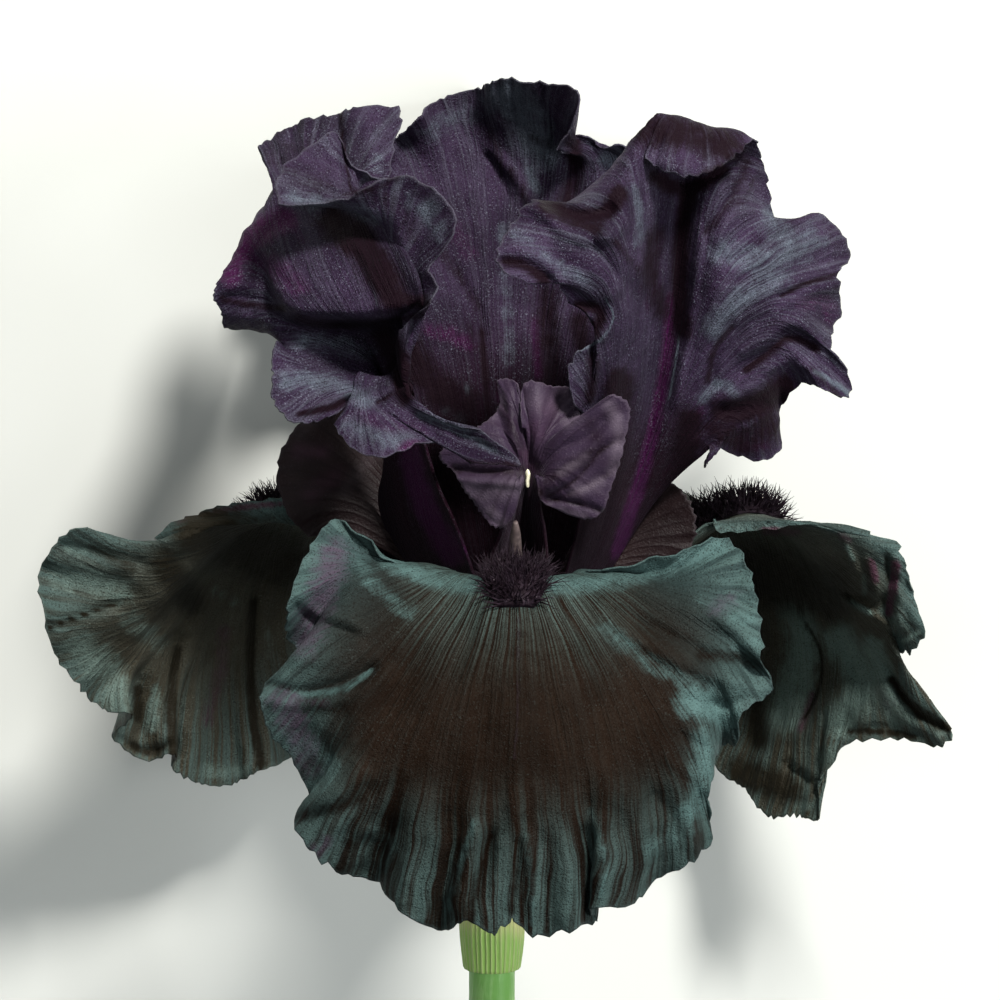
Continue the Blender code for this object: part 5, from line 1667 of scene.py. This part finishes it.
BEARDS = (("front", FALL_FRONT, 0), ("left", FALL_LEFT, -120), ("right", FALL_RIGHT, 120))
for side, petal, bearing in BEARDS:
    bottom, top = beard_cushion(petal, claw_rows(FALL_CLAW, bearing))
    across, ahead, up = top[1, 1] - top[1, 0], top[2, 0] - top[1, 0], top[1, 1] - bottom[1, 1]
    if np.cross(across, ahead) @ up < 0:
        top, bottom = top[:, ::-1], bottom[:, ::-1]
    points = np.concatenate([top.reshape(-1, 3), bottom.reshape(-1, 3)])
    faces = closed_faces(*top.shape[:2])
    cushion = new_piece("beard_" + side + "_bristles", points, faces, bristle, "beard_" + side)
    joined = bmesh.new()
    joined.from_mesh(cushion.data)
    joined.from_mesh(grown_on("beard_" + side, top, 5 + bearing // 120))
    for face in joined.faces:
        face.material_index = 0
    joined.to_mesh(cushion.data)
    joined.free()
    print("beard", side, "faces:", len(cushion.data.polygons))

# %% [markdown]
# ## Tube, ovary, stem, stamens and spathes
#
# Below the petals the flower is a tube, a ribbed ovary and a round stem. A bar swept along the
# same gently bent line, with far more sides than its solid, gives each of them. The valves of
# the spathe wrap the ovary, and the stamens stand under the style arms.

# %% Stem and tube
TUBE_TOP, TUBE_END, TUBE_RADIUS = -0.75, -21.0, 3.2
OVARY_RADIUS, OVARY_TOP = 3.4, TUBE_END - GAP
BAR_SIDES = 60


def smooth_bar(name, heights, radii, steps, lobe, material):
    """A bar down the stem's line, its width read from a few heights from the top down."""
    fine = np.linspace(heights[0], heights[-1], steps)
    widths = np.interp(-fine, -np.asarray(heights), radii)
    points, faces = swept(stem_line(fine), widths, BAR_SIDES, lobe)
    return new_piece(name + "_fine", points, faces, material, name)


tube_heights = (TUBE_TOP, -2.5, -6, -11, -16, TUBE_END)
tube_radii = (6.0, 5.0, 3.9, 3.3, TUBE_RADIUS, TUBE_RADIUS + 0.1)
smooth_bar("perianth_tube", tube_heights, tube_radii, 60, 0.02, tube_green)
shares = np.linspace(0, 1, 30)
ovary_radii = OVARY_RADIUS * (0.86 + 0.18 * np.sin(math.pi * shares))
smooth_bar("ovary", OVARY_TOP + (OVARY_END - OVARY_TOP) * shares, ovary_radii, 60, 0.06, green)
smooth_bar("stem", (OVARY_END - GAP, STEM_END), (STEM_RADIUS, STEM_RADIUS), 80, 0.012, green)

# %% Spathes
SPATHE_TIP, SPATHE_BASE, SPATHE_INSIDE, SPATHE_SWELL, SPATHE_THICK = -25.0, -47.5, 4.2, 0.7, 0.35
SPATHE_POINT, SPATHE_RIB, SPATHE_RIBS = 9, 0.06, 40


def fine_spathe(name, middle, half, tip, columns=65, rows=56):
    """A valve that wraps the ovary; it narrows and comes to a point towards its tip."""
    spot, share = np.meshgrid(np.linspace(-1, 1, columns), np.linspace(0, 1, rows))
    height = SPATHE_BASE + (tip - SPATHE_POINT * np.abs(spot) ** 1.5 - SPATHE_BASE) * share
    angle = np.radians(middle + half * (1 - 0.55 * share**3) * spot)
    radius = SPATHE_INSIDE + SPATHE_THICK + SPATHE_SWELL * np.sin(math.pi * share)
    radius += SPATHE_RIB * np.cos(SPATHE_RIBS * spot)
    grid = stem_line(height.ravel()).reshape(rows, columns, 3)
    for place in np.ndindex(rows, columns):
        out = radius[place]
        grid[place] += in_bloom(0, out * math.cos(angle[place]), out * math.sin(angle[place]), 0)
    thick = np.full((rows, columns), SPATHE_THICK)
    blade(name + "_paper", grid, spot[0], share[:, 0], thick, paper, name)


fine_spathe("spathe_outer", -20, 112, SPATHE_TIP)
fine_spathe("spathe_inner", 160, 58, SPATHE_TIP - 1.5)

# %% Stamens
STAMEN_PLACES = [(3.2, 0.1), (6.5, 6), (10.5, 12.5), (14.5, 18.5), (16, 21), (17.5, 23.5)]
STAMEN_PLACES += [(20.5, 28), (22.3, 30.5), (23, 31.5)]
STAMEN_RADII = (0.55, 0.5, 0.45, 0.45, 0.8, 1.15, 1.15, 0.9, 0.35)

steps = np.linspace(0, 1, 60)
stamen_radii = np.interp(steps, np.linspace(0, 1, len(STAMEN_RADII)), STAMEN_RADII)
for side, bearing in (("front", 0), ("left", -120), ("right", 120)):
    path = curve([in_bloom(bearing, out, 0, height) for out, height in STAMEN_PLACES], steps)
    points, faces = swept(path, stamen_radii, 24, 0.06, 2)
    new_piece("stamen_" + side + "_fine", points, faces, anther, "stamen_" + side)

# %% [markdown]
# ## Floor, light and camera
#
# The bloom lies on a plain pale floor. The strongest light stands high in front of it, a little
# to the right, with a wide soft fill from the left and a weaker one from low on the right. The
# camera is 0.8 m from the bloom and looks straight at its face.

# %% Stage
FLOOR_REACH = 3.0
FACE = (0, 30, 0)


def placed(point):
    """A place of the picture frame, in millimetres, as a world vector."""
    return Vector(laid([point])[0])


def lamp(name, spot, size, power, tint):
    """A round soft light at a place of the picture frame, aimed at the bloom's face."""
    light = bpy.data.lights.new(name, "AREA")
    light.shape = "DISK"
    light.size = size
    light.energy = power
    light.color = tint
    thing = bpy.data.objects.new(name, light)
    bpy.context.scene.collection.objects.link(thing)
    thing.location = placed(spot)
    thing.rotation_euler = (placed(FACE) - placed(spot)).to_track_quat("-Z", "Y").to_euler()


floor_mesh = bpy.data.meshes.new("floor")
corners = [(x * FLOOR_REACH, y * FLOOR_REACH, 0) for x, y in ((-1, -1), (1, -1), (1, 1), (-1, 1))]
floor_mesh.from_pydata(corners, [], [(0, 1, 2, 3)])
floor = bpy.data.objects.new("floor", floor_mesh)
bpy.context.scene.collection.objects.link(floor)
floor_finish = plain_finish("pale floor", (0.48, 0.49, 0.465), (0.52, 0.53, 0.505), 3.0, 0.8, 0.0001)
floor_mesh.materials.append(floor_finish)

lamp("key", spot=(325, 670, 935), size=0.2, power=35, tint=(1.0, 0.98, 0.94))
lamp("fill", spot=(-350, -50, 1000), size=0.9, power=4.0, tint=(0.95, 0.98, 1.0))
lamp("side fill", spot=(800, -50, 700), size=0.5, power=9.0, tint=(0.95, 0.98, 1.0))
world = bpy.data.worlds.new("studio")
bpy.context.scene.world = world
world.use_nodes = True
world.node_tree.nodes["Background"].inputs["Color"].default_value = (0.86, 0.95, 0.93, 1)
world.node_tree.nodes["Background"].inputs["Strength"].default_value = 0.13

# %% Camera
SEEN_WIDTH = 0.164
camera_data = bpy.data.cameras.new("camera")
camera_data.lens = camera_data.sensor_width * VIEWER_NEAR / 1000 / SEEN_WIDTH
camera_data.clip_start = 0.01
camera = bpy.data.objects.new("camera", camera_data)
bpy.context.scene.collection.objects.link(camera)
turned = Matrix(TURNED.tolist()).to_4x4()
camera.matrix_world = Matrix.Translation(placed((VIEWER_X, VIEWER_UP, VIEWER_NEAR))) @ turned
bpy.context.scene.camera = camera
bpy.context.scene.view_settings.view_transform = "Standard"
print("camera at", [round(v, 3) for v in camera.location])

# %% Sizes and finish
shown = [thing.data for thing in bpy.data.objects if thing.type == "MESH" and not thing.hide_render]
print("triangles:", sum(len(face.vertices) - 2 for mesh in shown for face in mesh.polygons))
